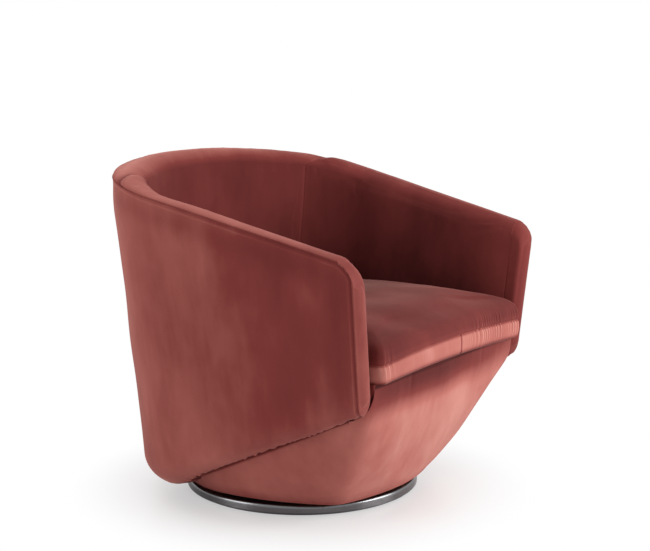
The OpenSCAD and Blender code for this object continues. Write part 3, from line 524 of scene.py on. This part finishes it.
# Linings: padding that lines the tub, wraps over the rim and, on an arm, round its front end. Pairs are for the back
# and for an arm.
lining = {
    "innerSeam": 1 + 42 / 90, "rimSeam": 1 + 16.5 / 90, "run": 390, "sagShare": 0.65, "seamDip": 1.0, "rimDip": 1.5,
    "seamWidth": 3.0, "pinch": 0.8, "pinchReach": 20, "crownPuff": 1.0, "cornerPuff": 2.5, "facePuff": 1.5,
    "crownReach": (45, 20), "faceReach": 60, "wave": 1.0, "fill": 0.9, "voxel": 7, "swell": 4,
    "crownPaintedHighlight": 0.40, "farArmPaintedShade": 0.16, "rearPaintedShading": 0.24, "facePaintedShade": -0.25, "deepPaintedShade": -0.35,
    "seamPaintedShading": 0.10, "creasePaintedShade": (0.4, 0.1),
}


# Profile in (d, z) from the rim seam: up a quarter ellipse to the crown's ridge, down a quarter circle, and down
# the inner face to the seat, with the direction that its surface faces
def liningProfile(s, column):
    thick, top = wallThick(s), rimZ(s)
    ridge, rise, r = thick * tub["crownShare"], tub["crownHeight"] + lining["sagShare"] * rimSag(s), tub["crownRadius"]
    angle = liningTurn[column]
    first, second = angle < 0, liningShare[column] > 0
    zFace = top + rise - r + (tub["deckHeight"] + 0.3 - top - rise + r) * liningFall[column]
    low = top + tub["sewnRise"]
    d = np.where(first, ridge * (1 - np.cos(angle + math.pi / 2)),
                 np.where(second, ridge + (thick - ridge) * np.sin(angle), thick))
    z = np.where(first, low + (rise - tub["sewnRise"]) * np.sin(angle + math.pi / 2),
                 np.where(second, top + rise - r * (1 - np.cos(angle)), zFace))
    return d, z, np.sin(angle), np.cos(angle)


crownSteps = 24
liningTurn = np.concatenate([np.linspace(-math.pi / 2, 0, crownSteps + 1)[:-1],
                             np.linspace(0, math.pi / 2, crownSteps), np.full(60, math.pi / 2)])   # 0 faces up
liningFall = np.concatenate([np.zeros(2 * crownSteps), np.linspace(0, 1, 61)[1:]])
liningShare = np.clip(1 - np.arange(len(liningTurn)) / (2 * crownSteps - 1), 0, 1)   # 1 at the rim seam, 0 inside


def seamPlace(share):   # the inner seam runs straight up the inner face, then slants over the crown to the rim
    return lining["innerSeam"] + (lining["rimSeam"] - lining["innerSeam"]) * share


# The profile carried along u, with each column's s running from one seam to the other
def buildLining(name, u, sStart, sEnd, node, onArm):
    count = len(liningTurn)
    column = np.arange(count)[None, :] + 0 * u[:, None].astype(int)
    share = liningShare[column]
    s = sStart(share) + (sEnd(share) - sStart(share)) * u[:, None]
    d, z, faceD, faceZ = liningProfile(s, column)
    t, _ = foldPlace(s)
    seamGap = np.abs(t - seamPlace(share)) * lining["run"]
    atFront = smooth(t * armLength / 40) if onArm else 1
    top = rimZ(s)
    backD = np.where(share > 0, np.minimum(tub["coreInner"], d), tub["coreInner"])
    backZ = np.where(share > 0, top + 0.4, np.minimum(z, top + 0.4))
    rest = wallPoint(s, z, d)
    crown = np.sin(math.pi * share)
    puff = crown * lining["crownPuff"] + (1 - share) * lining["facePuff"] * smooth((z - 300) / 60)
    puff += lining["cornerPuff"] * crown * dip(seamGap - 26, 22) * onArm
    puff = puff * smooth(seamGap / np.where(share > 0.2, lining["crownReach"][onArm], lining["faceReach"])) * atFront
    puff += lining["wave"] * ripple(rest, 130, 21) * (1 - share) * atFront
    outer = rest + wallMove(s, puff * faceD, puff * faceZ)
    inner = wallPoint(s, backZ, backD)[:, ::-1]
    # Painted light and shade: a painted highlight on the crown, stronger on the back and with painted shade on one
    # arm's crown, each arm's own painted shading, painted shade on the inner face growing deeper further down, a
    # painted highlight beside the seam, and painted shade on the seam and on the crown next to it
    forward = smooth((t * armLength - facing["depth"]) / 110) if onArm else 1
    sidePaintedShading = -lining["farArmPaintedShade"] * (s < 2) if onArm else lining["rearPaintedShading"] * smooth((s - 1.5) / 0.5)
    light = (lining["crownPaintedHighlight"] + sidePaintedShading) * crown * forward + (armPaintedShading(s) if onArm else 0)
    light += (lining["facePaintedShade"] + lining["deepPaintedShade"] * smooth((500 - z) / 200)) * (1 - share) * forward
    light += lining["seamPaintedShading"] * dip(seamGap - 3, 1.6) - lining["seamPaintedShading"] * dip(seamGap, 1.6)
    light -= lining["creasePaintedShade"][onArm] * dip(seamGap, 16) * smooth((share - 0.2) / 0.3)
    piece = addGrid(name, np.concatenate([outer, inner], 1), np.concatenate([light, 0 * light], 1), caps=True)
    held = np.concatenate([(share > 0.93) | (seamGap < 4) | (z < 300), np.ones(s.shape, bool)], 1)
    held[[0, -1]] = True
    still = smooth((t * armLength - frontStart * armLength) / 70) if onArm else 1
    limit = lining["swell"] * (1 - 0.7 * crown) * still * smooth(seamGap / 80) + 0.01
    inflate(piece, held, lining["voxel"], np.concatenate([limit, limit[:, ::-1]], 1))
    points = readPoints(piece.data).reshape(len(u), 2 * count, 3)
    tuck = lining["seamDip"] * dip(seamGap, lining["seamWidth"])
    tuck += lining["pinch"] * dip(seamGap, lining["pinchReach"]) * smooth((share - 0.45) / 0.2)
    tuck += lining["rimDip"] * dip((1 - share) * 40, 4)
    points[:, :count] -= wallMove(s, tuck * faceD, tuck * faceZ)
    writePoints(piece.data, points)
    closeUp(piece)
    finishPiece(piece, [node])


# Arm fronts: the arm's outline drawn in at its edge, tightly on the outer side and in a wide round on the inner one,
# and closed by rings that run in to a line down its middle, domed as the padding fills it
facing = {"outerRound": 2.5, "innerRound": 8, "depth": 26, "tuck": 10, "puff": 6, "lowPuff": 4, "middle": 0.42,
          "foldLow": 16, "foldTop": 14, "swell": 2.5, "hold": 3, "voxel": 5, "fill": 0.95, "nap": 0.02, "sidePaintedShading": 0.1}


def armPaintedShading(s):   # the two arm fronts get slightly different painted shading, one lighter and one darker
    return facing["nap"] + np.where(s > 2, 1, -1) * facing["sidePaintedShading"]


# The arm's outline seen from the front, in (d, z), for a distance e behind the front and an inset at each point:
# outer roll, outer side, crown, inner side and inner round
def facingLoop(e, inset):
    s = np.clip(e, 0, None) / armLength
    top, low, thick = rimZ(s), edgeZ(s) - facing["lowPuff"], float(tub["armThick"])
    roll, inner, ridge = tub["rollFront"], tub["crownRadius"], thick * tub["crownShare"]
    rise = tub["crownHeight"] - inset * 0.25
    seam, turnIn = top + tub["sewnRise"], top + tub["crownHeight"] - tub["crownRadius"]
    quarter = np.linspace(0, math.pi / 2, 10)
    angle = np.concatenate([quarter[::-1], np.zeros(40), quarter, quarter[1:], np.zeros(40), quarter])
    run = np.concatenate([np.zeros(10), np.linspace(0, 1, 42)[1:-1], np.zeros(19), np.linspace(0, 1, 42)[1:-1],
                          np.zeros(10)])
    kind = np.repeat([0, 1, 2, 3, 4, 5], [10, 40, 10, 9, 40, 10])
    bow, climb = 1 - np.cos(angle), np.sin(angle)
    d = np.choose(kind, [inset + (roll - inset) * bow, inset, inset + (ridge - inset) * bow,
                         ridge + (thick - inset - ridge) * climb, thick - inset, thick - inset - (inner - inset) * bow])
    z = np.choose(kind, [low + inset + (roll - inset) * (1 - climb), low + roll + (seam - low - roll) * run,
                         seam + (rise - tub["sewnRise"]) * climb, top + rise - tub["crownRadius"] * bow,
                         turnIn + (low + inner - turnIn) * run, low + inset + (inner - inset) * (1 - climb)])
    return d, z


def buildFacing(name, mirrored, node):
    inward = np.concatenate([np.linspace(0.35, 0, 10), np.zeros(40), np.linspace(0, 0.5, 10),
                             np.linspace(0.55, 1, 9), np.ones(40), np.linspace(1, 0.4, 10)])   # 1 on the inner side
    bend = facing["outerRound"] + (facing["innerRound"] - facing["outerRound"]) * smooth(inward)
    rings = []

    def addRing(e, d, z):
        s = np.clip(e, 0, None) / armLength
        point = wallPoint(4 - s if mirrored else s, z, d)
        point[:, 1] += np.minimum(e, 0)
        rings.append(point)

    outerSide = (np.arange(len(inward)) < 50) * 1.0   # there the piece turns in behind the panel
    for share in (0, 0.4, 0.8):
        e = bend + (facing["depth"] - bend) * (1 - share) * (1 - outerSide) + 0.4 * outerSide
        addRing(e, *facingLoop(e, facing["tuck"] * (1 - share) * outerSide))
    for turn in np.linspace(0, math.pi / 2, 12):
        e, inset = bend * (1 - math.sin(turn)), bend * (1 - math.cos(turn))
        d, z = facingLoop(e, inset)
        addRing(e, d, z)
    middle = tub["armThick"] * facing["middle"]
    targetZ = np.clip(z, z.min() + facing["foldLow"], z.max() - facing["foldTop"])
    for share in np.linspace(0, 1, 9)[1:]:
        addRing(0 * e - facing["puff"] * (1 - (1 - share) ** 2), d + (middle - d) * share, z + (targetZ - z) * share)
    points = np.stack(rings)
    # The front carries its arm's painted shading
    piece = addGrid(name, points, np.full(points.shape[:2], armPaintedShading(4 if mirrored else 0)))
    held = np.zeros(points.shape[:2], bool)
    held[:3] = True
    limit = np.full(points.shape[:2], facing["swell"])
    limit[:10] *= np.linspace(0, 0.5, 10)[:, None]
    inflate(piece, held, facing["voxel"], limit + 0.01, facing["hold"])
    closeUp(piece, True)
    finishPiece(piece, [node])


# Seat cushion: a crowned top, a border between two drawn-in seams and a flat underside
cushion = {
    "bottom": 297, "border": 34, "crown": 71, "reach": 357.14, "corner": 13, "gap": 1, "bulge": 3, "drawIn": 4,
    "tuckIn": 3, "frontPower": 3.3, "sidePower": 4.4, "rearFall": 8, "centreY": -30, "halfFront": 290,
    "topLift": (11.7, 4, -2), "lowLift": (5.5, 0, -4), "voxel": 7, "swell": 5, "fill": 0.8,
    "seamDip": 1.8, "seamWidth": 2.6, "pipe": 1.0, "gather": 0.9, "gatherStep": 8, "gatherReach": 22,
    "joint": 24, "jointDip": 1.6, "wave": 0.9, "topPaintedShade": -0.26, "rearPaintedShading": -0.60, "borderPaintedHighlight": 0.62,
    "gatherPaintedShading": 0.3, "seamPaintedShading": 0.5, "jointPaintedShade": 0.7, "lowPaintedShade": 0.8,
}
seamZ = float(cushion["bottom"] + cushion["border"])


# Left half of the outline inside the tub at height z: front, round corner, side and quarter ellipse
def tubOutline(z, inset, front, r, counts):
    sideX = halfWidth(z) + (front + r - tub["backStart"]) * toeFall - inset(np.array([0.0]))[0] / math.cos(toe)
    cx = sideX - r / math.cos(toe)
    straight = np.stack([np.linspace(0, cx, counts[0]), np.full(counts[0], float(front))], -1)
    arc = np.radians(np.linspace(-90, -tub["armToe"], counts[1] + 2)[1:-1])
    corner = np.stack([cx + r * np.cos(arc), front + r + r * np.sin(arc)], -1)
    startS = (front + r - frontY(z)) / (tub["backStart"] - frontY(z))
    places = np.concatenate([np.linspace(startS, 1, counts[2])[:-1], np.linspace(1, 2, counts[3])])
    point = wallPoint(places, z, 0)[:, :2] - inset(places)[:, None] * np.stack(outwards(places), -1)
    return np.concatenate([straight, corner, point])


def cushionInset(s):
    return wallThick(s) + cushion["gap"] + cushion["bulge"] + cushion["drawIn"] * np.sin(math.pi * np.clip(s, 0, 1))


# The whole outline at height z, grown outwards by grow, with its front drawn in between the corners
def cushionRing(z, grow):
    counts = (140, 14, 70, 70)
    half = tubOutline(float(z), cushionInset, -cushion["reach"], cushion["corner"], counts)
    line = np.concatenate([half, half[-2:0:-1] * [-1, 1]])
    out = line - [0, tub["backStart"]]
    out /= np.linalg.norm(out, axis=1, keepdims=True)
    cornerX = half[counts[0] - 1, 0]
    front = (line[:, 1] < -cushion["reach"] + 2) & (np.abs(line[:, 0]) < cornerX + 1)
    inward = np.where(front, cushion["drawIn"] * (1 - (line[:, 0] / cornerX) ** 2), 0)
    line = line + out * grow
    line[:, 1] += inward
    return line


# Rings: the underside drawn in to its middle, the border bulging between its seams, and a crown whose height falls
# from the middle as a power curve, gentler at the front than at the sides. Padding, then seams and gathers.
def buildCushion():
    centre = np.array([0.0, cushion["centreY"]])
    rings, height = [], []
    for part in np.linspace(0, 1, 14)[1:-1]:
        rings.append(centre + (cushionRing(cushion["bottom"], -cushion["tuckIn"]) - centre) * part)
        height.append(cushion["bottom"])
    for v in spread(0, 0.15, 0.05, 0.8, 0.08, 1, 0.03):
        grow = -cushion["tuckIn"] * dip(v, 0.08) + cushion["bulge"] * math.sin(math.pi * v)
        height.append(cushion["bottom"] + cushion["border"] * v)
        rings.append(cushionRing(height[-1], grow))
    flat = np.stack(rings)
    columns = flat.shape[1]
    low = np.concatenate([flat, np.repeat(np.array(height)[:, None], columns, 1)[..., None]], -1)
    unit = cushionRing(seamZ, 0) - centre
    size = np.linalg.norm(unit, axis=1, keepdims=True)
    unit = unit / size
    power = cushion["sidePower"] + (cushion["frontPower"] - cushion["sidePower"]) * np.clip(-unit[:, 1], 0, 1) ** 2
    share = (1 - np.concatenate([[0.0005], np.linspace(0, 1, 76)[1:-1]]) ** 1.7)[:, None]
    reach = (cushion["reach"] + cushion["centreY"]) * share * (1 - share ** 2) + size[:, 0] * share * share ** 2
    z = seamZ + cushion["crown"] * (1 - share ** power) ** (1 / power)
    flat = centre + unit * reach[..., None]
    z -= cushion["rearFall"] * smooth((flat[..., 1] + 130) / 300) * (z - seamZ) / cushion["crown"]
    high = np.concatenate([flat, z[..., None]], -1)
    poles = [np.full((1, columns, 3), [*centre, poleZ]) for poleZ in (cushion["bottom"], seamZ + cushion["crown"])]
    points = np.concatenate([poles[0], low, high, poles[1]])
    seamRow = len(low)
    piece = addGrid("seatCushion", points, np.zeros(points.shape[:2]))
    held = points[..., 2] < cushion["bottom"] + 3
    held[seamRow - 1:seamRow + 2] = True
    limit = np.full(points.shape[:2], float(cushion["swell"]))
    limit[seamRow + 1:-1] *= 0.2 + 0.8 * smooth((1 - share) / 0.35)
    inflate(piece, held, cushion["voxel"], limit + 0.01)
    points = readPoints(piece.data).reshape(points.shape)
    alongRow = np.roll(points, -1, 1) - np.roll(points, 1, 1)
    normal = np.cross(alongRow, np.gradient(points, axis=0))
    normal /= np.maximum(np.linalg.norm(normal, axis=-1, keepdims=True), 1e-6)
    down = np.cumsum(np.linalg.norm(np.diff(points, axis=0, prepend=points[:1]), axis=-1), 0)
    seamGap = down - down[seamRow]   # below 0 on the border, above 0 on the top
    x, y = points[seamRow, :, 0], points[seamRow, :, 1]
    along = np.cumsum(np.hypot(np.diff(x, append=x[0]), np.diff(y, append=y[0])))
    frontal = smooth((-y - 250) / 80)
    drawn = frontal * (smooth((x - 30) / 90) + 0.5 * smooth((-x - 225) / 25) + 0.06)
    fold = gather(along, cushion["gatherStep"], 31)[None] * drawn[None]
    border = (seamGap < 0) & (points[..., 2] > cushion["bottom"] + 1)
    reachIn = np.where(seamGap > 0, cushion["gatherReach"], cushion["border"] * 0.8)
    push = cushion["gather"] * fold * dip(seamGap, reachIn) * smooth(np.abs(seamGap) / 4)
    push -= cushion["seamDip"] * dip(seamGap + 1.6, cushion["seamWidth"]) - cushion["pipe"] * dip(seamGap - 2.2, 1.6)
    jointGap = points[..., 0] - cushion["joint"] - 5 * np.sin((points[..., 2] - seamZ) / cushion["border"] * math.pi)
    joint = dip(jointGap, 2.2) * border * frontal
    push -= cushion["jointDip"] * joint
    normal[-4:] = [0, 0, 1]   # the pole has no direction along its row
    push[:2] = 0
    push += cushion["wave"] * ripple(points, 150, 41) * smooth((seamGap - 20) / 60)
    # Painted light and shade: painted shade on the top, deeper towards the rear, a painted highlight on the border that
    # is strongest at the front, painted highlights and shade on the gathers, and painted shade in the seam, the joint
    # and along the underside
    topPaintedShade = (cushion["topPaintedShade"] + cushion["rearPaintedShading"] * smooth((points[..., 1] + 300) / 350)) * smooth(seamGap / 8)
    light = np.where(seamGap > 0, topPaintedShade, cushion["borderPaintedHighlight"] * border * (0.25 + 0.75 * frontal))
    light += (cushion["gatherPaintedShading"] * fold * dip(seamGap, reachIn) - cushion["seamPaintedShading"] * dip(seamGap + 1.8, 1.8)
              - cushion["jointPaintedShade"] * joint)
    light -= cushion["lowPaintedShade"] * dip(points[..., 2] - cushion["bottom"], 5)
    writePaintedShading(piece.data, light)
    points = points + normal * push[..., None]
    across = np.clip(points[..., 0] / cushion["halfFront"], -1, 1)
    topMove, lowMove = [middle * (1 - across ** 2) + end * across ** 2 + tilt * across
                        for middle, end, tilt in (cushion["topLift"], cushion["lowLift"])]
    up = np.clip((points[..., 2] - cushion["bottom"]) / cushion["border"], 0, 1)
    fade = smooth((-points[..., 1] - 250) / 95) * up + smooth((-points[..., 1] - 325) / 25) * (1 - up)
    points[..., 2] += (lowMove + (topMove - lowMove) * up) * fade * dip(np.maximum(points[..., 2] - seamZ, 0), 45)
    writePoints(piece.data, points)
    closeUp(piece)
    finishPiece(piece, ["seat_cushion"])


# A node socket on which Python's arithmetic adds Math nodes
class Socket:
    def __init__(self, maker, socket):
        self.maker, self.socket = maker, socket

    def math(self, operation, *values):
        return self.maker.node("ShaderNodeMath", {"operation": operation}, dict(enumerate((self, *values))))

    def __add__(self, other): return self.math("ADD", other)
    __radd__ = __add__

    def __mul__(self, other): return self.math("MULTIPLY", other)
    __rmul__ = __mul__

    def __sub__(self, other): return self.math("SUBTRACT", other)

    def __rsub__(self, other): return self.maker.node("ShaderNodeMath", {"operation": "SUBTRACT"}, {0: other, 1: self})

    def clamp(self): return self.maker.node("ShaderNodeClamp", {}, {0: self})


# Builds one material: settings first, then values or links of a node's sockets
class MaterialMaker:
    def __init__(self, name):
        self.material = bpy.data.materials.new(name)
        self.material.use_nodes = True
        self.tree = self.material.node_tree
        self.tree.nodes.clear()
        self.output = self.tree.nodes.new("ShaderNodeOutputMaterial")

    def node(self, kind, settings=None, inputs=None, output=0):
        made = self.tree.nodes.new(kind)
        for key, value in (settings or {}).items():
            if key == "stops":
                ramp = made.color_ramp
                while len(ramp.elements) < len(value):
                    ramp.elements.new(0.5)
                for element, (position, colour) in zip(ramp.elements, value):
                    element.position = position
                    element.color = (*colour, 1)
            else:
                setattr(made, key, value)
        for key, value in (inputs or {}).items():
            self.put(made.inputs[key], value)
        return Socket(self, made.outputs[output])

    def put(self, slot, value):
        if isinstance(value, Socket):
            self.tree.links.new(value.socket, slot)
        elif isinstance(value, tuple) and slot.type == "RGBA" and len(value) == 3:
            slot.default_value = (*value, 1)
        else:
            slot.default_value = value

    def place(self, scale=(1, 1, 1)):
        place = self.node("ShaderNodeTexCoord", output=3)
        return self.node("ShaderNodeMapping", {}, {"Vector": place, "Scale": scale})

    def noise(self, scale, detail=3.0, rough=0.5, stretch=(1, 1, 1)):
        return self.node("ShaderNodeTexNoise", {}, {"Vector": self.place(stretch), "Scale": scale, "Detail": detail,
                                                    "Roughness": rough})

    def blend(self, factor, first, second):
        return self.node("ShaderNodeMix", {"data_type": "RGBA"}, {0: factor, 6: first, 7: second}, output=2)

    def bump(self, height, strength, distance):
        return self.node("ShaderNodeBump", {}, {"Height": height, "Strength": strength, "Distance": distance})

    def close(self, shader):
        self.put(self.output.inputs["Surface"], shader)
        return self.material

    def surface(self, inputs):
        return self.close(self.node("ShaderNodeBsdfPrincipled", {}, inputs))


velvetLook = {
    "deep": (0.060, 0.0075, 0.0075), "body": (0.190, 0.033, 0.029), "light": (0.43, 0.135, 0.110),
    "pale": (0.70, 0.35, 0.29), "sheen": 0.34, "sheenRough": 0.33, "sheenTint": (1.0, 0.50, 0.43),
}


# Velvet: the pile's colour drifts in soft upright streaks and clouds, and painted highlights and painted shade carried
# on each point lighten and darken it
def velvetMaterial():
    maker = MaterialMaker("roseVelvet")
    clouds = maker.noise(8, 3, 0.55, (1, 1, 0.6))
    streaks = maker.noise(45, 2, 0.6, (1, 1, 0.10))
    pile = maker.noise(900, 2, 0.7)
    # the painted light and shade of each point
    nap = maker.node("ShaderNodeAttribute", {"attribute_name": "nap"}, output=2)
    level = (nap * 0.55 + 0.40 + (clouds - 0.5) * 0.36 + (streaks - 0.5) * 0.09 + (pile - 0.5) * 0.12).clamp()
    colour = maker.node("ShaderNodeValToRGB", {"stops": [
        (0.05, velvetLook["deep"]), (0.40, velvetLook["body"]), (0.72, velvetLook["light"]),
        (1.0, velvetLook["pale"])]}, {0: level})
    return maker.surface({
        "Base Color": colour, "Roughness": 0.86 - (level - 0.4) * 0.15, "Specular IOR Level": 0.15,
        "Sheen Weight": velvetLook["sheen"], "Sheen Roughness": velvetLook["sheenRough"],
        "Sheen Tint": velvetLook["sheenTint"], "Normal": maker.bump(pile * 0.7 + streaks * 0.3, 0.35, 0.0005)})


def metalMaterial(name, colour, rough, metallic, grain=400, depth=0.00003, grainRough=0.1):
    maker = MaterialMaker(name)
    fine = maker.noise(grain, 3, 0.6)
    cloud = maker.noise(14, 2, 0.5)
    tint = maker.blend(cloud, tuple(c * 0.85 for c in colour), tuple(min(1, c * 1.15) for c in colour))
    return maker.surface({"Base Color": tint, "Metallic": metallic, "Roughness": rough + (fine - 0.5) * grainRough,
                          "Normal": maker.bump(fine, 0.2, depth)})


def plywoodMaterial():
    maker = MaterialMaker("birchPlywood")
    grain = maker.noise(30, 4, 0.6, (1, 8, 1))
    plies = maker.node("ShaderNodeTexWave", {"wave_type": "BANDS", "bands_direction": "Z"},
                       {"Vector": maker.place(), "Scale": 110, "Distortion": 0.4})
    colour = maker.node("ShaderNodeValToRGB", {"stops": [(0.2, (0.42, 0.27, 0.14)), (0.8, (0.66, 0.49, 0.30))]},
                        {0: (grain * 0.7 + plies * 0.3)})
    return maker.surface({"Base Color": colour, "Roughness": 0.7 + (grain - 0.5) * 0.1,
                          "Normal": maker.bump(grain, 0.3, 0.0003)})


# Woven cloth: two crossed bands of threads over a soft colour drift
def clothMaterial(name, dark, light, pitch):
    maker = MaterialMaker(name)
    warp = maker.node("ShaderNodeTexWave", {"bands_direction": "X"}, {"Vector": maker.place(), "Scale": pitch})
    weft = maker.node("ShaderNodeTexWave", {"bands_direction": "Y"}, {"Vector": maker.place(), "Scale": pitch})
    drift = maker.noise(20, 3)
    level = warp * 0.35 + weft * 0.35 + drift * 0.3
    return maker.surface({"Base Color": maker.blend(level, dark, light), "Roughness": 0.85 + (drift - 0.5) * 0.1,
                          "Normal": maker.bump(level, 0.5, 0.0004)})


# White floor: keeps its shadow near the chair, and the camera sees it fade to the white backdrop further out
def floorMaterial():
    maker = MaterialMaker("paleFloor")
    speck = maker.noise(3, 2)
    place = maker.node("ShaderNodeTexCoord", output=3)
    radius = maker.node("ShaderNodeVectorMath", {"operation": "LENGTH"}, {0: place}, output=1)
    fade = maker.node("ShaderNodeMapRange", {"interpolation_type": "SMOOTHSTEP"},
                      {0: radius, 1: 0.24, 2: 0.50, 3: 0.45, 4: 1.0})
    tint = maker.blend(speck, (0.87, 0.87, 0.87), (0.9, 0.9, 0.9))
    shader = maker.node("ShaderNodeBsdfPrincipled", {}, {
        "Base Color": tint, "Roughness": 0.3, "Specular IOR Level": 0.3})
    white = maker.node("ShaderNodeEmission", {}, {0: (1, 1, 1)})
    camera = maker.node("ShaderNodeLightPath", output="Is Camera Ray")
    return maker.close(maker.node("ShaderNodeMixShader", {}, {0: fade * camera, 1: shader, 2: white}))


# Camera at the photograph's place and angle
cameraPlace = {"place": (-2.218, -1.4405, 0.812), "forward": (0.8397, 0.5242, -0.1419), "lens": 72, "sensor": 36}
# Lamps: place, size, power
lamps = {
    "keyLamp": ((1.1, -3.0, 1.5), (2.2, 1.6), 95),
    "topLamp": ((-0.4, 0.6, 3.0), (2.6, 2.0), 18),
    "sideLamp": ((-2.9, 1.9, 1.4), (1.8, 1.8), 46),
}
lampTarget = Vector((0, 0, 0.3))
skyStrength = 0.42
floorReach = 6.0


def aim(thing, place, direction):
    thing.location = place
    thing.rotation_euler = direction.to_track_quat("-Z", "Y").to_euler()


def addCamera():
    data = bpy.data.cameras.new("camera")
    data.lens = cameraPlace["lens"]
    data.sensor_width = cameraPlace["sensor"]
    data.sensor_fit = "HORIZONTAL"
    camera = addObject("camera", data)
    aim(camera, cameraPlace["place"], Vector(cameraPlace["forward"]))
    bpy.context.scene.camera = camera


def addLamp(name, place, size, power):
    data = bpy.data.lights.new(name, "AREA")
    data.shape = "RECTANGLE"
    data.size, data.size_y = size
    data.energy = power
    aim(addObject(name, data), place, lampTarget - Vector(place))


def addFloor():
    mesh = bpy.data.meshes.new("floor")
    r = floorReach
    mesh.from_pydata([(-r, -r, 0), (r, -r, 0), (r, r, 0), (-r, r, 0)], [], [(0, 1, 2, 3)])
    floor = addObject("floor", mesh)
    mesh.materials.append(floorMaterial())


# White where the camera or a reflection sees it, and dimmer as a source of light
def addWorld():
    world = bpy.data.worlds.new("studio")
    world.use_nodes = True
    tree = world.node_tree
    tree.nodes.clear()
    path, seen, soft, direct, mix, out = [tree.nodes.new(kind) for kind in (
        "ShaderNodeLightPath", "ShaderNodeBackground", "ShaderNodeBackground", "ShaderNodeMath",
        "ShaderNodeMixShader", "ShaderNodeOutputWorld")]
    seen.inputs[0].default_value = soft.inputs[0].default_value = (1, 1, 1, 1)
    soft.inputs[1].default_value = skyStrength
    direct.operation = "MAXIMUM"
    for source, target in (
            (path.outputs["Is Camera Ray"], direct.inputs[0]), (path.outputs["Is Glossy Ray"], direct.inputs[1]),
            (direct.outputs[0], mix.inputs[0]), (soft.outputs[0], mix.inputs[1]),
            (seen.outputs[0], mix.inputs[2]), (mix.outputs[0], out.inputs[0])):
        tree.links.new(source, target)
    bpy.context.scene.world = world


addCamera()
addFloor()
addWorld()
for name, lamp in lamps.items():
    addLamp(name, *lamp)
bpy.context.scene.view_settings.view_transform = "Standard"
print("camera, floor and lamps ready")

velvet = velvetMaterial()
sideSeam = panel["sideSeam"]
front = panel["frontGap"] / armLength
armColumns = spread(front, front + 0.036, 0.0025, 0.12, 0.008, 1, 0.013, sideSeam - 0.03, 0.010, sideSeam, 0.0025)
backColumns = spread(sideSeam, sideSeam + 0.03, 0.0025, 4 - sideSeam - 0.03, 0.010, 4 - sideSeam, 0.0025)
buildPanel("outerPanelLeft", armColumns, "outer_panel_left")
buildPanel("outerPanelRight", (4 - armColumns)[::-1], "outer_panel_right")
buildPanel("outerPanelBack", backColumns, "outer_panel_back")
buildPlinth()
print("panels and plinth built")

frontStart = facing["depth"] / armLength
armU = spread(0, 0.1, 0.01, 0.85, 0.0095, 1, 0.005)
backU = spread(0, 0.12, 0.005, 0.88, 0.0095, 1, 0.005)
buildLining("liningLeft", armU, lambda share: frontStart + 0 * share, seamPlace, "inner_pad_left", True)
buildLining("liningRight", armU, lambda share: 4 - seamPlace(share), lambda share: 4 - frontStart + 0 * share,
            "inner_pad_right", True)
buildLining("liningBack", backU, seamPlace, lambda share: 4 - seamPlace(share), "inner_pad_back", False)
buildFacing("facingLeft", False, "arm_facing_left")
buildFacing("facingRight", True, "arm_facing_right")
print("linings and facings built")
buildCushion()
print("cushion built")

# Finishes of the CAD nodes that stay
finishes = {
    "gunmetal": metalMaterial("gunmetal", (0.15, 0.15, 0.155), 0.24, 1.0, 60, 0.00001, 0.02),
    "blackPlate": metalMaterial("blackPlate", (0.02, 0.02, 0.021), 0.55, 0.6),
    "zinc": metalMaterial("zincSteel", (0.52, 0.53, 0.55), 0.32, 1.0),
    "brass": metalMaterial("brassCage", (0.62, 0.42, 0.16), 0.35, 1.0),
    "plywood": plywoodMaterial(),
    "webbing": clothMaterial("webbingCloth", (0.03, 0.028, 0.026), (0.10, 0.09, 0.08), 160),
    "blackCloth": clothMaterial("dustCloth", (0.008, 0.008, 0.008), (0.03, 0.03, 0.03), 300),
    "felt": clothMaterial("feltPad", (0.05, 0.05, 0.05), (0.12, 0.12, 0.12), 500),
}
finishOf = {
    "base_ring": "gunmetal", "base_plate": "blackPlate", "floor_pad": "felt", "dust_cover": "blackCloth",
    "straps_long": "webbing", "straps_cross": "webbing", "seat_deck": "felt", "ball_cage": "brass",
}
plywoodStarts = ("rib", "bottom_board", "seat_frame", "arm_core", "back_core")
for nodeName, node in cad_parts.items():
    finish = "plywood" if nodeName.startswith(plywoodStarts) else finishOf.get(nodeName, "zinc")
    node.data.materials.clear()
    node.data.materials.append(finishes[finish])
print("CAD nodes finished")

bpy.context.view_layer.update()
